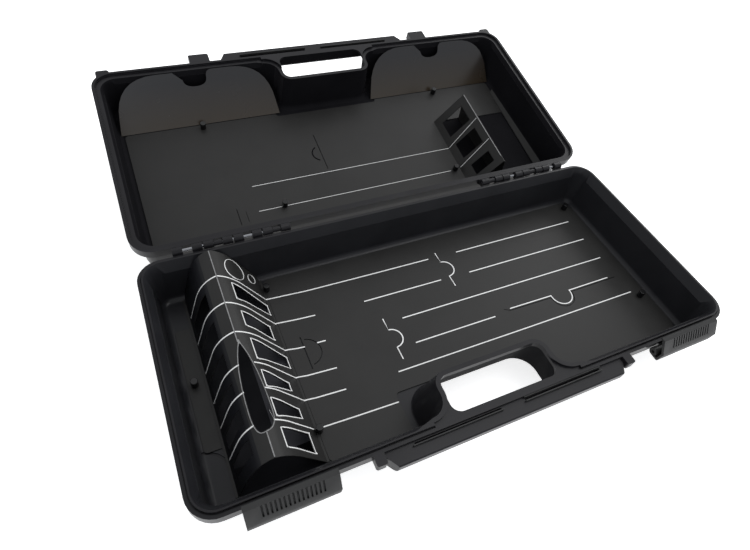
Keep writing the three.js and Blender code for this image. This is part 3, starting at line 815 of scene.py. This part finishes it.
@dataclass
class CaseShell:
    """One moulded half of the case, with its stepped rim and the ribs and slots on the face of its grip.

    A rib or slot is given by its left end, right end and line in the plan, the groove by its outer and
    inner inset and its depth, the bay by its half width and back edge, and the bay's taper by its back
    edge and its half width at the front.
    """

    half: Half
    kit: Kit
    linings: tuple[Lining, ...]
    ribs: tuple[Stretch, ...]
    slots: tuple[Stretch, ...]
    crescent: tuple[Plan, ...] = ()
    edge: float = 0.5
    rib_width: float = 1.1
    rib_height: float = 2.6
    rib_foot: float = 0.2
    rib_edge: float = 0.35
    slot_width: float = 1.7
    slot_depth: float = 4.0
    slot_over: float = 0.5
    grip_recess: float = 3.0
    corner: float = 22.0
    corner_segments: int = 10
    rim_width: float = 6.5
    wall_inset: float = 10.4
    chamfer_depth: float = 8.0
    chamfer_band: float = 3.0
    over: float = 4.0
    groove: tuple[float, float, float] = (2.8, 4.05, 1.6)
    groove_over: float = 0.5
    past: float = 1.0
    bay: tuple[float, float] = (74.0, 47.0)
    bay_taper: tuple[float, float] = (9.9, 116.7)
    bay_front: float = -2.0
    bay_heights: tuple[float, float] = (30.0, 70.0)
    crescent_floor: float = 1.3
    crescent_width: float = 2.4
    crescent_height: float = 3.0

    def build(self) -> list[Piece]:
        """Builds and dresses the half.

        Returns:
            The shell and its ribs.
        """
        body = moulding(f"{self.half.body}_moulding", [f"{self.half.body}_shell"], self.kit.frame)
        carve(body, self.chamfer_cutter())
        carve(body, self.groove_cutter())
        for slot in self.slots:
            cutter = self.on_grip("slot", slot, self.slot_width, self.slot_depth, self.slot_over)
            carve(body, self.kit.hinge.stand(cutter, self.half))
        if self.crescent:
            cutter = wire("crescent", self.crescent, self.crescent_floor)
            thicken(cutter, self.crescent_width, self.crescent_height)
            carve(body, cutter)
        soften(body, self.edge)
        smooth(body)
        dress(body, self.kit.palette.shell)
        for lining in self.linings:
            self.line(body, lining)
        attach(body, self.half.body)
        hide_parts(f"{self.half.body}_shell")
        return [body, self.grip_ribs()]

    def line(self, body: Piece, lining: Lining) -> None:
        """Gives a patch's faces their finish of painted light and shade.

        Args:
            body: The shell.
            patch: Which faces, as in the closed case.
        """
        back = self.kit.hinge.opening.inverted() if self.half is Half.LID else Matrix.Identity(4)

        def looks_in(place: Vector, normal: Vector) -> bool:
            """Whether a face lies in the patch's box and looks towards its middle."""
            place, normal = back @ place, back.to_3x3() @ normal
            return lining.box.holds(place) and normal.dot(lining.middle - place) > 0

        repaint(body, lining.finish, looks_in)

    def height(self, depth: float) -> float:
        """Height over the table of a depth under the half's rim, with the lid closed."""
        return BASE_HEIGHT - depth if self.half is Half.BASE else BASE_HEIGHT + RIM_SEAM + depth

    def prism(self, inset: float, near: float, deep: float, deep_inset: float | None = None) -> Piece:
        """Block with the rim's plan drawn in by an inset, between two depths.

        Args:
            inset: How far its sides stand in from the rim's outer edge.
            near: Depth of its end at the rim.
            deep: Depth of its other end.
            deep_inset: Inset at that other end, where the sides slope.

        Returns:
            The block.
        """
        low, high = sorted((self.height(near), self.height(deep)))
        piece = block("prism", spot(inset, inset, low), spot(CASE_LENGTH - inset, CASE_WIDTH - inset, high))
        with edit_mode(piece, "EDGE"):
            select_upright_edges(piece)
            bpy.ops.mesh.bevel(offset=(self.corner - inset) * MM, segments=self.corner_segments, affect="EDGES")
        if deep_inset is not None:
            share = tuple((side - 2 * deep_inset) / (side - 2 * inset) for side in (CASE_LENGTH, CASE_WIDTH))
            level = self.height(deep) * MM
            with edit_mode(piece, "FACE"):
                select_faces(piece, lambda centre, normal: abs(centre.z - level) < HAIR)
                bpy.ops.transform.resize(value=(*share, 1))
        return piece

    def bay_block(self, back: float) -> Piece:
        """Block over the whole width of the hand bay.

        Args:
            back: How far back it reaches.

        Returns:
            The block.
        """
        half_width, middle = self.bay[0], CASE_LENGTH / 2
        low, high = self.bay_heights
        return block("bay", spot(middle - half_width, self.bay_front, low), spot(middle + half_width, back, high))

    def chamfer_cutter(self) -> Piece:
        """Sloping ring that narrows the rim from inside, broken at the hand bay.

        Returns:
            The cutter, at the half's opened place.
        """
        extra = self.over * (self.wall_inset - self.rim_width) / self.chamfer_depth
        ring = self.prism(self.rim_width - extra, -self.over, self.chamfer_depth, self.wall_inset)
        carve(ring, self.prism(self.wall_inset + self.chamfer_band, -self.over - self.past,
                               self.chamfer_depth + self.past))
        back, front_half = self.bay_taper
        wedge = self.bay_block(back)
        with edit_mode(wedge, "FACE"):
            select_faces(wedge, lambda centre, normal: normal.y < -FACING)
            bpy.ops.transform.resize(value=(front_half / self.bay[0], 1, 1))
        carve(ring, wedge)
        carve(ring, self.bay_block(self.bay[1]))
        return self.kit.hinge.stand(ring, self.half)

    def groove_cutter(self) -> Piece:
        """Thin ring that cuts a dark step beside the tongue.

        Returns:
            The cutter, at the half's opened place.
        """
        outer, inner, depth = self.groove
        ring = self.prism(outer, -self.groove_over, depth)
        carve(ring, self.prism(inner, -self.past, depth + self.past))
        carve(ring, self.bay_block(self.bay[1]))
        return self.kit.hinge.stand(ring, self.half)

    def on_grip(self, name: str, stretch: Stretch, width: float, sink: float, rise: float) -> Piece:
        """Long thin block on the recessed face of the grip.

        Args:
            name: Its name.
            stretch: Its left end, right end and line in the plan.
            width: Its width.
            sink: How deep it goes into the grip.
            rise: How far it stands out of it.

        Returns:
            The block, as in the closed case.
        """
        left, right, y = stretch
        low, high = sorted(self.height(self.grip_recess + depth) for depth in (sink, -rise))
        return block(name, spot(left, y - width / 2, low), spot(right, y + width / 2, high))

    def grip_ribs(self) -> Piece:
        """Thin raised ribs on the grip's recessed face, in the latch's lighter plastic as painted highlight.

        Returns:
            The ribs as one object.
        """
        pieces = []
        for stretch in self.ribs:
            pieces.append(self.on_grip("rib", stretch, self.rib_width, self.rib_foot, self.rib_height))
            soften(pieces[-1], self.rib_edge)
        ribs = self.kit.hinge.stand(joined(f"{self.half.body}_grip_ribs", pieces), self.half)
        smooth(ribs)
        # The latch's lighter plastic stands for the highlight along the ribs: painted highlight.
        dress(ribs, self.kit.palette.latch)
        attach(ribs, self.half.body)
        return ribs


@dataclass
class HingeSleeves:
    """Black sleeves on a hinge pin, in the windows of every second hinge unit."""

    side: Side
    kit: Kit
    from_end: float = 35.0
    unit: float = 27.7
    unit_gap: float = 1.3
    knuckle: float = 9.4
    gap: float = 0.3
    bore: float = 1.7
    radius: float = 2.9
    edge: float = 0.4
    axis: Plan = (244.8, 49.6)
    sleeved: tuple[int, ...] = (1, 3)

    def build(self) -> list[Piece]:
        """Turns one sleeve and copies it to the other window.

        Returns:
            The two sleeves as one object.
        """
        first = self.sleeve(self.start(self.sleeved[0]))
        pieces = [first]
        for index in self.sleeved[1:]:
            copy = duplicate(first)
            copy.location.x = (self.start(index) - self.start(self.sleeved[0])) * MM
            pieces.append(settle(copy))
        sleeves = joined(f"{self.side.word}_hinge_sleeves", pieces)
        smooth(sleeves)
        dress(sleeves, self.kit.palette.shell)
        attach(sleeves, "base")
        return [sleeves]

    @property
    def window(self) -> float:
        """Length of a window."""
        return self.unit - 2 * self.knuckle

    def start(self, index: int) -> float:
        """Left end of the window of a unit counted from the case's end."""
        inner = self.from_end + index * (self.unit + self.unit_gap) + self.knuckle
        return inner if self.side is Side.LEFT else CASE_LENGTH - inner - self.window

    def sleeve(self, left: float) -> Piece:
        """One sleeve: a rod that is bored for the pin and rounded.

        Args:
            left: Left end of its window.

        Returns:
            The sleeve.
        """
        start = spot(left + self.gap, *self.axis)
        end = spot(left + self.window - self.gap, *self.axis)
        sleeve = rod("sleeve", self.radius * MM, start, end)
        reach = Vector((MM, 0, 0))
        carve(sleeve, rod("bore", self.bore * MM, start - reach, end + reach))
        soften(sleeve, self.edge)
        return sleeve


@dataclass
class Latch:
    """Latch lever with a row of grooves across its sloped face, plain at the toe and the heel."""

    side: Side
    kit: Kit
    edge: float = 0.6
    grooves: int = 15
    groove_pitch: float = 3.2
    groove_radius: float = 0.95
    groove_sink: float = 0.6
    groove_sides: int = 12
    plain_toe: float = 4.2
    plain_heel: float = 0.2
    toe_lean: float = 0.2
    heel_lean: float = 1.2

    def build(self) -> list[Piece]:
        """Builds and dresses the lever.

        Returns:
            The lever.
        """
        name = f"{self.side.word}_latch"
        lever = moulding(f"{self.side.word}_lever", [name], self.kit.frame)
        soften(lever, self.edge)
        carve(lever, self.comb())
        smooth(lever)
        dress(lever, self.kit.palette.latch)
        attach(lever, f"{self.side.word}_latch_lever")
        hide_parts(name)
        return [lever]

    def comb(self) -> Piece:
        """Row of rods that cut the grooves, along the lever's sloped face at rest.

        Returns:
            The cutter.
        """
        box_low, box_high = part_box(f"{self.side.word}_latch")
        middle = (box_low.x + box_high.x) / 2
        low, high = self.slope()
        along = (high - low).normalized()
        inward = Vector((0, along.z, -along.y)) * self.groove_sink * MM
        start = low + along * self.plain_toe * MM + inward
        end = high - along * self.plain_heel * MM + inward
        first = middle - (self.grooves - 1) / 2 * self.groove_pitch * MM
        pieces = []
        for index in range(self.grooves):
            shift = Vector((first + index * self.groove_pitch * MM, 0, 0))
            pieces.append(rod("groove", self.groove_radius * MM, start + shift, end + shift, self.groove_sides))
        return joined("comb", pieces)

    def slope(self) -> tuple[Vector, Vector]:
        """Lower and upper end of the sloped face at rest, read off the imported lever.

        Returns:
            Two points in the plane x = 0.
        """
        points = [corner.co for corner in self.kit.frame["nodes"][f"{self.side.word}_latch"].data.vertices]
        low = min(points, key=lambda co: co.y - self.toe_lean * co.z)
        high = max(points, key=lambda co: co.z - self.heel_lean * co.y)
        return Vector((0, low.y, low.z)), Vector((0, high.y, high.z))


@dataclass
class PrintedLine:
    """A line printed on an insert, through plan points."""

    name: str
    points: list[Plan]
    cuts: int = 0
    closed: bool = False
    width: float = 1.15


def arc(centre: Plan, radius: float, start: float, stop: float, steps: int = 12) -> list[Plan]:
    """Plan points along an arc, by its angles in degrees from +x towards +y."""
    angles = (math.radians(start + (stop - start) * step / steps) for step in range(steps + 1))
    return [(centre[0] + radius * math.cos(angle), centre[1] + radius * math.sin(angle)) for angle in angles]


def curve_through(start: Plan, pull: Plan, end: Plan, steps: int = 8) -> list[Plan]:
    """Plan points along a curve with one pull point.

    Args:
        start: First point.
        pull: Point that the curve is drawn towards.
        end: Last point.
        steps: Number of stretches.

    Returns:
        The points, without the first.
    """
    shares = [step / steps for step in range(1, steps + 1)]
    return [
        tuple((1 - t) ** 2 * a + 2 * t * (1 - t) * b + t * t * c for a, b, c in zip(start, pull, end))
        for t in shares
    ]


@dataclass
class Insert:
    """A thin black insert on the floor of a half, with its printed lines and its cut slits.

    Faces in the shaded box that look to the left get the darker finish. The opening is cut right through.
    """

    half: Half
    kit: Kit
    nodes: tuple[str, ...]
    floor: float
    lines: list[PrintedLine]
    folds: list[PrintedLine]
    slits: list[PrintedLine]
    in_shade: Box | None = None
    opening: tuple[Plan, Plan] | None = None
    opening_reach: float = 3.0
    ink_rise: float = 0.22
    slit_over: float = 0.5
    slit_depth: float = 3.5
    drop: float = 70.0
    leftward: float = -0.6

    def build(self) -> list[Piece]:
        """Builds and dresses the insert.

        Returns:
            The sheet, its printed lines and its worn folds with their painted highlight.
        """
        sheet = moulding(f"{self.half.body}_insert", self.nodes, self.kit.frame)
        target = duplicate(sheet)
        for slit in self.slits:
            cutter = wire(slit.name, slit.points, self.floor + self.half.facing * self.slit_over)
            thicken(cutter, slit.width, -self.half.facing * self.slit_depth)
            carve(sheet, self.kit.hinge.stand(cutter, self.half))
        if self.opening is not None:
            reaches = (-self.opening_reach, self.opening_reach)
            ends = (spot(*corner, self.floor + reach) for corner, reach in zip(self.opening, reaches))
            carve(sheet, self.kit.hinge.stand(block("opening", *ends), self.half))
        smooth(sheet)
        dress(sheet, self.kit.palette.sheet)
        if self.in_shade is not None:
            repaint(sheet, self.kit.palette.shaded,
                    lambda place, normal: normal.x < self.leftward and self.in_shade.holds(place))
        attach(sheet, self.half.body)
        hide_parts(*self.nodes)
        printed = self.printed("print", self.lines, target, self.kit.palette.ink)
        # Worn folds in grey ink, with painted highlight along the crests.
        worn = self.printed("fold_lines", self.folds, target, self.kit.palette.fold)
        bpy.data.objects.remove(target, do_unlink=True)
        return [sheet, printed, worn]

    def printed(self, name: str, lines: Sequence[PrintedLine], target: Piece,
                finish: Material) -> Piece:
        """Lines printed on the sheet: each is dropped on it as a bare line, then thickened.

        Args:
            name: What the object that holds them is called after its half.
            lines: The lines.
            target: The sheet that they lie on.
            finish: Their ink.

        Returns:
            The lines as one object.
        """
        pieces = []
        for line in lines:
            strip = wire(line.name, line.points, self.floor + self.half.facing * self.drop, line.cuts, line.closed)
            if self.half is Half.LID:
                strip.matrix_world = self.kit.hinge.opening
                bpy.context.view_layer.update()
            before = [corner.co.copy() for corner in strip.data.vertices]
            apply_modifier(
                strip, "SHRINKWRAP", target=target, wrap_method="PROJECT", use_project_z=True,
                use_negative_direction=self.half is Half.BASE, use_positive_direction=self.half is Half.LID)
            drop_unmoved(strip, before)
            thicken(strip, line.width, self.half.facing * self.ink_rise)
            pieces.append(settle(strip))
        made = joined(f"{self.half.body}_{name}", pieces)
        dress(made, finish)
        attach(made, self.half.body)
        return made


@dataclass
class CurledEdge:
    """Tilted strip of insert plastic along the lid's right foot, shaped as the insert's right edge curling up where the
    floor meets the wall: it stands in for the highlight along the cove, as painted highlight.
    """

    kit: Kit
    left: float = 505.5
    right: float = 513.5
    front: float = 70.0
    back: float = 206.0
    floor: float = 96.9
    thickness: float = 0.9
    rise: float = 4.6
    narrowing: float = 0.25
    edge: float = 0.3

    def build(self) -> list[Piece]:
        """Shapes the strip, narrower towards the front, and turns it open.

        Returns:
            The strip.
        """
        strip = block("curled_edge", spot(self.left, self.front, self.floor - self.thickness),
                      spot(self.right, self.back, self.floor))
        with edit_mode(strip, "FACE"):
            select_faces(strip, lambda centre, normal: normal.x > FACING)
            bpy.ops.transform.translate(value=(0, 0, -self.rise * MM))
            bpy.ops.mesh.select_all(action="DESELECT")
            select_faces(strip, lambda centre, normal: normal.y < -FACING)
            bpy.ops.transform.resize(value=(self.narrowing, 1, 1))
        soften(strip, self.edge)
        self.kit.hinge.stand(strip, Half.LID)
        smooth(strip)
        dress(strip, self.kit.palette.sheet)
        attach(strip, "lid")
        return [strip]


@dataclass
class SnapStuds:
    """Studs that hold an insert down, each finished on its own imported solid."""

    half: Half
    kit: Kit
    edge: float = 0.5
    edge_segments: int = 3
    edge_angle: float = 60.0

    def build(self) -> list[Piece]:
        """Finishes each stud of the half.

        Returns:
            The studs.
        """
        names = sorted(name for name in self.kit.frame["nodes"] if name.startswith(f"{self.half.body}_stud_"))
        made = []
        for name in names:
            stud = moulding(name.replace("stud", "snap"), [name], self.kit.frame)
            soften(stud, self.edge, self.edge_segments, self.edge_angle)
            smooth(stud)
            dress(stud, self.kit.palette.stud)
            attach(stud, self.half.body)
            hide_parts(name)
            made.append(stud)
        return made


@dataclass
class CardFlap:
    """Glossy card flap that leans against the lid's front wall."""

    side: Side
    kit: Kit
    notch: float = 156.2
    shoulder: tuple[Plan, Plan] = ((-23.5, 0.0), (-14.1, -7.4))
    shoulder_past: float = 1.3
    cutter_width: float = 60.0
    cutter_height: float = 10.0

    def build(self) -> list[Piece]:
        """Finishes the flap.

        Returns:
            The flap.
        """
        name = f"{self.side.word}_card_flap"
        flap = moulding(f"{self.side.word}_card", [name], self.kit.frame)
        low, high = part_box(name)
        carve(flap, self.shoulder_cutter(high))
        smooth(flap)
        finish = GlossyCard(
            f"{self.side.word}_card_gloss", (0.014, 0.014, 0.016), (0.03, 0.022, 0.014),
            Vector((0, low.y, low.z)), Vector((0, high.y, high.z)))
        dress(flap, finish.build())
        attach(flap, f"{self.side.word}_flap")
        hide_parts(name)
        return [flap]

    def shoulder_cutter(self, high: Vector) -> Piece:
        """Leaning block that takes the left corner off the flap's notch.

        Args:
            high: Highest corner of the flap's box.

        Returns:
            The cutter.
        """
        centre = self.side.value * self.notch
        ends = [Vector((centre + x, high.y / MM, high.z / MM + z)) * MM for x, z in self.shoulder]
        along = ends[1] - ends[0]
        length, width = along.length * self.shoulder_past, self.cutter_width * MM
        cutter = block("shoulder", Vector((-length, -width, 0)) / 2,
                       Vector((length / 2, width / 2, self.cutter_height * MM)))
        cutter.rotation_euler = (0, math.atan2(-along.z, along.x), 0)
        cutter.location = (ends[0] + ends[1]) / 2
        return settle(cutter)


@dataclass(frozen=True)
class SoftBox:
    """A wide square lamp that looks at the case."""

    name: str
    place: tuple[float, float, float]
    size: float
    power: float
    colour: Colour = (1.0, 1.0, 1.0)
    aim: tuple[float, float, float] = (0.0, 0.1, 0.0)

    def hang(self) -> None:
        """Adds the lamp at its place."""
        lamp = bpy.data.lights.new(self.name, "AREA")
        lamp.size = self.size
        lamp.energy = self.power
        lamp.color = self.colour
        holder = bpy.data.objects.new(self.name, lamp)
        holder.location = self.place
        look = Vector(self.aim) - Vector(self.place)
        holder.rotation_euler = look.to_track_quat("-Z", "Y").to_euler()
        bpy.context.scene.collection.objects.link(holder)


@dataclass
class Studio:
    """Floor, soft lights and camera."""

    surroundings: Colour = (0.95, 0.97, 1.0)
    fill: float = 0.7
    floor_lift: float = 0.72
    lamps: tuple[SoftBox, ...] = (
        SoftBox("back_panel", (0.75, 1.15, 2.0), 2.5, 9.0),
        SoftBox("overhead", (0.9, -0.1, 2.2), 1.2, 12.0),
        SoftBox("right_low", (1.9, 1.0, 1.0), 1.3, 14.0),
        SoftBox("front_low", (-0.9, -1.7, 1.3), 1.4, 3.0, (0.9, 0.95, 1.0)),
    )
    eye: tuple[float, float, float] = (-228.1, -229.1, 441.3)
    view: tuple[float, float, float] = (0.3371, 0.5323, -0.7765)
    right: tuple[float, float, float] = (0.9079, -0.4020, 0.1185)
    lens: float = 25.18
    film: float = 36.0
    sight: float = 50.0
    floor_size: float = 14.0
    floor_drop: float = 0.0004
    floor_grain: Layers = (120.0, 2, 0.5)
    floor_greys: tuple[Colour, Colour] = ((0.93, 0.93, 0.93), (0.95, 0.95, 0.95))

    def build(self) -> None:
        """Sets up the whole studio."""
        self.lay_floor()
        self.light_world()
        self.hang_lamps()
        self.place_camera()
        bpy.context.scene.view_settings.view_transform = "Standard"

    def lay_floor(self) -> None:
        """Wide pale floor that keeps the case's soft shadow."""
        deselect_all()
        bpy.ops.mesh.primitive_plane_add(size=self.floor_size, location=(0, 0, -self.floor_drop))
        floor = bpy.context.active_object
        floor.name = "floor"
        graph = Graph("pale_floor")
        rays = graph.add("ShaderNodeLightPath").outputs
        straight = graph.compute(MATH, "MAXIMUM", rays["Is Camera Ray"], rays["Is Glossy Ray"])
        seen = graph.compute(MATH, "MAXIMUM", straight, rays["Is Transmission Ray"])
        dress(floor, graph.surface(
            Base_Color=graph.tint(graph.noise(*self.floor_grain), *self.floor_greys),
            Roughness=0.9, Specular_IOR_Level=0.1, Emission_Color=(1, 1, 1, 1),
            Emission_Strength=graph.spread(seen, 0.0, self.floor_lift, 0.0, 1.0)))

    def light_world(self) -> None:
        """Dim, slightly cool surroundings that fill the shadows."""
        world = bpy.data.worlds.new("studio")
        bpy.context.scene.world = world
        world.use_nodes = True
        sky = world.node_tree.nodes["Background"]
        sky.inputs["Color"].default_value = (*self.surroundings, 1)
        path = world.node_tree.nodes.new("ShaderNodeLightPath")
        level = world.node_tree.nodes.new("ShaderNodeMapRange")
        level.inputs["To Min"].default_value = self.fill
        level.inputs["To Max"].default_value = 1.0
        world.node_tree.links.new(path.outputs["Is Camera Ray"], level.inputs["Value"])
        world.node_tree.links.new(level.outputs["Result"], sky.inputs["Strength"])

    def hang_lamps(self) -> None:
        """Soft boxes round the case."""
        for lamp in self.lamps:
            lamp.hang()

    def place_camera(self) -> None:
        """Camera at the photograph's view."""
        camera = bpy.data.cameras.new("camera")
        camera.lens = self.lens
        camera.sensor_width = self.film
        camera.sensor_fit = "HORIZONTAL"
        camera.clip_end = self.sight
        holder = bpy.data.objects.new("camera", camera)
        back = -Vector(self.view).normalized()
        right = Vector(self.right).normalized()
        up = back.cross(right).normalized()
        right = up.cross(back).normalized()
        turn = Matrix((right, up, back)).transposed().to_4x4()
        holder.matrix_world = Matrix.Translation(Vector(self.eye) * MM) @ turn
        bpy.context.scene.collection.objects.link(holder)
        bpy.context.scene.camera = holder


@dataclass
class KnifeCase:
    """The whole case: every sub-assembly with the places that only the case knows."""

    kit: Kit
    bridge_left: float = 35.6
    bridge_right: float = 108.0
    bridge_window: float = 77.4
    crest: float = 66.0
    base_floor: float = 3.7
    lid_floor: float = 96.6

    def build(self) -> None:
        """Builds the sub-assemblies in order and logs each piece."""
        kit = self.kit
        assemblies = [
            self.base_shell(),
            self.lid_shell(),
            *(HingeSleeves(side, kit) for side in Side),
            *(Latch(side, kit) for side in Side),
            self.base_insert(),
            self.lid_insert(),
            CurledEdge(kit),
            *(SnapStuds(half, kit) for half in Half),
            *(CardFlap(side, kit) for side in Side),
        ]
        for assembly in assemblies:
            for piece in assembly.build():
                report(piece)
        for name in ("left_hinge_pin", "right_hinge_pin", "left_latch_pin", "right_latch_pin"):
            dress(kit.frame["nodes"][name], kit.palette.steel)
            report(kit.frame["nodes"][name])

    def base_shell(self) -> CaseShell:
        """The base, with painted light and painted reflection on its inner walls and floor, and painted shade on the
        faces of its hand bay.

        Returns:
            The shell, ready to build.
        """
        palette = self.kit.palette
        # The base's inner faces get painted light and painted reflection.
        walls = Lining(palette.walls, Box(spot(6.6, 6.6, 2), spot(523.4, 233.4, 48.4)), spot(265, 120, 40))
        # The hand bay's faces get painted shade.
        bay = Lining(palette.bay, Box(spot(198, 4, 0.5), spot(332, 57, 45.8)), spot(265, 24, 20))
        return CaseShell(
            Half.BASE, self.kit, (walls, bay),
            ribs=((168, 253, -3.4), (244, 263, 2), (275, 359, -0.6), (275, 359, -4)),
            slots=((170, 252, -1.9), (245, 262, 3.5), (276, 358, -2.3)),
            crescent=((16, 66.4), (19, 66), (22.7, 64.7), (28.5, 60.7), (32.6, 55.6), (34.4, 52)))

    def lid_shell(self) -> CaseShell:
        """The lid, with painted shade inside: its inner faces are darker and dull.

        Returns:
            The shell, ready to build.
        """
        # The lid's inner faces get painted shade.
        inside = Lining(
            self.kit.palette.cavity, Box(spot(6.6, 6.6, 49.6), spot(523.4, 233.4, 106)), spot(265, 120, 70))
        return CaseShell(
            Half.LID, self.kit, (inside,),
            ribs=((168, 251, -6), (271, 362, -5)),
            slots=((169, 250, -4.4), (272, 361, -3.4)))

    def base_insert(self) -> Insert:
        """The base's insert with the knife bridge.

        Returns:
            The insert, ready to build.
        """
        return Insert(
            Half.BASE, self.kit, ("base_sheet", "base_tab", "base_bridge"), self.base_floor,
            lines=[*self.flat_lines(), *self.bridge_lines(), *self.window_frames(), *self.rings()],
            # Crest lines: worn folds, with painted highlight along the crests.
            folds=[
                PrintedLine("crest_back", [(self.crest, 124.5), (self.crest, 228)], 30, width=0.9),
                PrintedLine("crest_front", [(self.crest, 43.5), (self.crest, 23)], 8, width=0.9),
                PrintedLine("hole_rim", self.hole_outline(), 1, True, 0.7),
            ],
            slits=[
                PrintedLine("tab_slit", [(126.5, 107.5), (126.5, 144)], width=1.2),
                PrintedLine("tab_arc", arc((127, 126), 14.5, -80, 80), width=0.95),
                PrintedLine("row_slit", [(339, 104.6), (345, 101.1), (398.5, 100.2),
                                         *arc((412.5, 98.6), 14, 180, 360, 14), (426.5, 99.8), (490, 100)], width=0.8),
            ],
            in_shade=Box(spot(30, 4, 4.2), spot(56, 238, 60)))

    def flat_lines(self) -> list[PrintedLine]:
        """Lines on the flat part of the base's insert, with the two printed half-moons.

        Returns:
            The lines.
        """
        runs = {
            "row1b": [(329, 191.7), (492, 191.2)],
            "row2b": [(202, 162.5), (293, 161.6)],
            "row2c": [(329, 161), (492, 160.6)],
            "row3b": [(140, 132.6), (148.5, 132.3)],
            "row3c": [(231, 130.7), (493, 129.5)],
            "row4b": [(231, 100.1), (325, 99.8)],
            "row4c": [(346, 103.2), (400, 102.4), *arc((412.5, 100.2), 12.5, 180, 360, 14), (425, 102), (481, 102)],
            "row5b": [(201, 77.1), (340, 76.3), (494, 76)],
            "row6": [(116.5, 51.9), (150, 50.6), (188, 49.5)],
        }
        made = [PrintedLine(name, points) for name, points in runs.items()]
        for name, x, top, low in (("moon1", 304.5, 198, 149.5), ("moon2", 211.3, 136.5, 88)):
            points = [(x, top), (x, top - 14), *arc((x, (top + low) / 2), 10.3, 90, -90, 14), (x, low + 14), (x, low)]
            made.append(PrintedLine(name, points))
        return made

    def bridge_lines(self) -> list[PrintedLine]:
        """Lines over the knife bridge, the front three broken by the hole for the steel.

        Returns:
            The lines.
        """
        made = []
        left, right, crest = self.bridge_left, self.bridge_right, self.crest
        rows = (
            (197, None, [(112, 196.7), (130, 195.6), (150, 194.3), (220, 193.1), (293, 192.3)]),
            (166.3, None, [(112, 166.1), (120, 165.3), (130, 164.3), (149, 163.1)]),
            (134.9, None, [(112, 134.6), (120, 133.1), (127.6, 132.4)]),
            (104.5, (61.5, 73.8), [(112, 104.2), (120, 102.9), (148, 101.2)]),
            (80.8, (59, 75.2), [(112, 80.5), (120, 79.5), (148, 78)]),
            (52.2, (58.7, 71.5), []),
        )
        for number, (y, hole, flat) in enumerate(rows, 1):
            if hole is None:
                made.append(PrintedLine(f"over{number}", [(left, y), (crest, y), (right, y), *flat], 24))
            else:
                made.append(PrintedLine(f"over{number}l", [(left, y), (hole[0], y)], 24))
                made.append(PrintedLine(f"over{number}r", [(hole[1], y), (right, y), *flat], 24))
        return made

    def window_frames(self) -> list[PrintedLine]:
        """Outlines round the six windows on the bridge's right face.

        Returns:
            The outlines.
        """
        near = self.bridge_window
        corners = (
            (192.0, 172.9, 187.4, 175.6, 107.3), (159.3, 143.2, 156.9, 141.2, 101.0),
            (129.8, 108.7, 125.7, 113.6, 107.2), (98.2, 82.1, 94, 86, 99.2),
            (72.2, 55.4, 68.4, 59.5, 99.8), (46.1, 29.4, 46.2, 27.8, 100.6),
        )
        return [
            PrintedLine(f"window{number}", [(near, back), (far, foot_back), (far, foot_front), (near, front),
                                            (near, back)], 10, True, 0.95)
            for number, (back, front, foot_back, foot_front, far) in enumerate(corners, 1)
        ]

    def rings(self) -> list[PrintedLine]:
        """Two slanted ovals printed near the bridge's back end.

        Returns:
            The ovals.
        """
        made = []
        for name, centre, across, along, lean in (
            ("ring1", (84.5, 212.8), 8.0, 12.7, 1.8), ("ring2", (100.3, 215.9), 3.3, 6.3, 1.3)):
            points = [
                (centre[0] + across * x + lean * y, centre[1] + along * y)
                for x, y in arc((0, 0), 1.0, 0, 360, 32)
            ]
            made.append(PrintedLine(name, points, 0, True, 0.9))
        return made

    def hole_outline(self) -> list[Plan]:
        """Points just outside the hole for the sharpening steel.

        Returns:
            The points, from its back end round.
        """
        back, front, middle, left, right, centre, nose, taper = 125, 43.3, 62, 57.8, 75.7, 67, 64, 20
        points = [(centre, back)]
        points += curve_through(points[-1], (left, back - taper), (left, middle))
        points += curve_through(points[-1], (left, front), (nose, front))
        points += curve_through(points[-1], (right, front), (right, middle))
        points += curve_through(points[-1], (right, back - taper), (centre, back))
        return points

    def lid_insert(self) -> Insert:
        """The lid's insert with its smaller bridge.

        Returns:
            The insert, ready to build.
        """
        return Insert(
            Half.LID, self.kit, ("lid_sheet",), self.lid_floor,
            lines=[
                PrintedLine("row_a", [(137, 153), (399, 153)]),
                PrintedLine("row_b", [(135, 188), (385, 188)]),
                PrintedLine("over_a", [(399.6, 153), (428, 146)], 30),
                PrintedLine("over_b", [(399.6, 186.5), (428, 181)], 30),
            ],
            # The crest line: a worn fold, with painted highlight along the crest.
            folds=[PrintedLine("lid_crest", [(429, 107), (429, 211)], 30, width=0.8)],
            slits=[
                PrintedLine("moon_slit", [(231.5, 94), (231.5, 149)], width=0.9),
                PrintedLine("moon_arc", arc((231.5, 124), 11, 115, 245), width=1.7),
                PrintedLine("mark1", [(112, 179.5), (112, 201)], width=0.7),
                PrintedLine("mark2", [(121, 185), (121, 199)], width=0.5),
            ],
            opening=((441, 109), (520, 240)))


def main() -> None:
    """Builds the case's looks and the studio."""
    logging.basicConfig(level=logging.INFO, format="%(message)s")
    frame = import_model()
    KnifeCase(Kit(frame, Hinge(frame), Palette())).build()
    Studio().build()


if __name__ == "__main__":
    main()
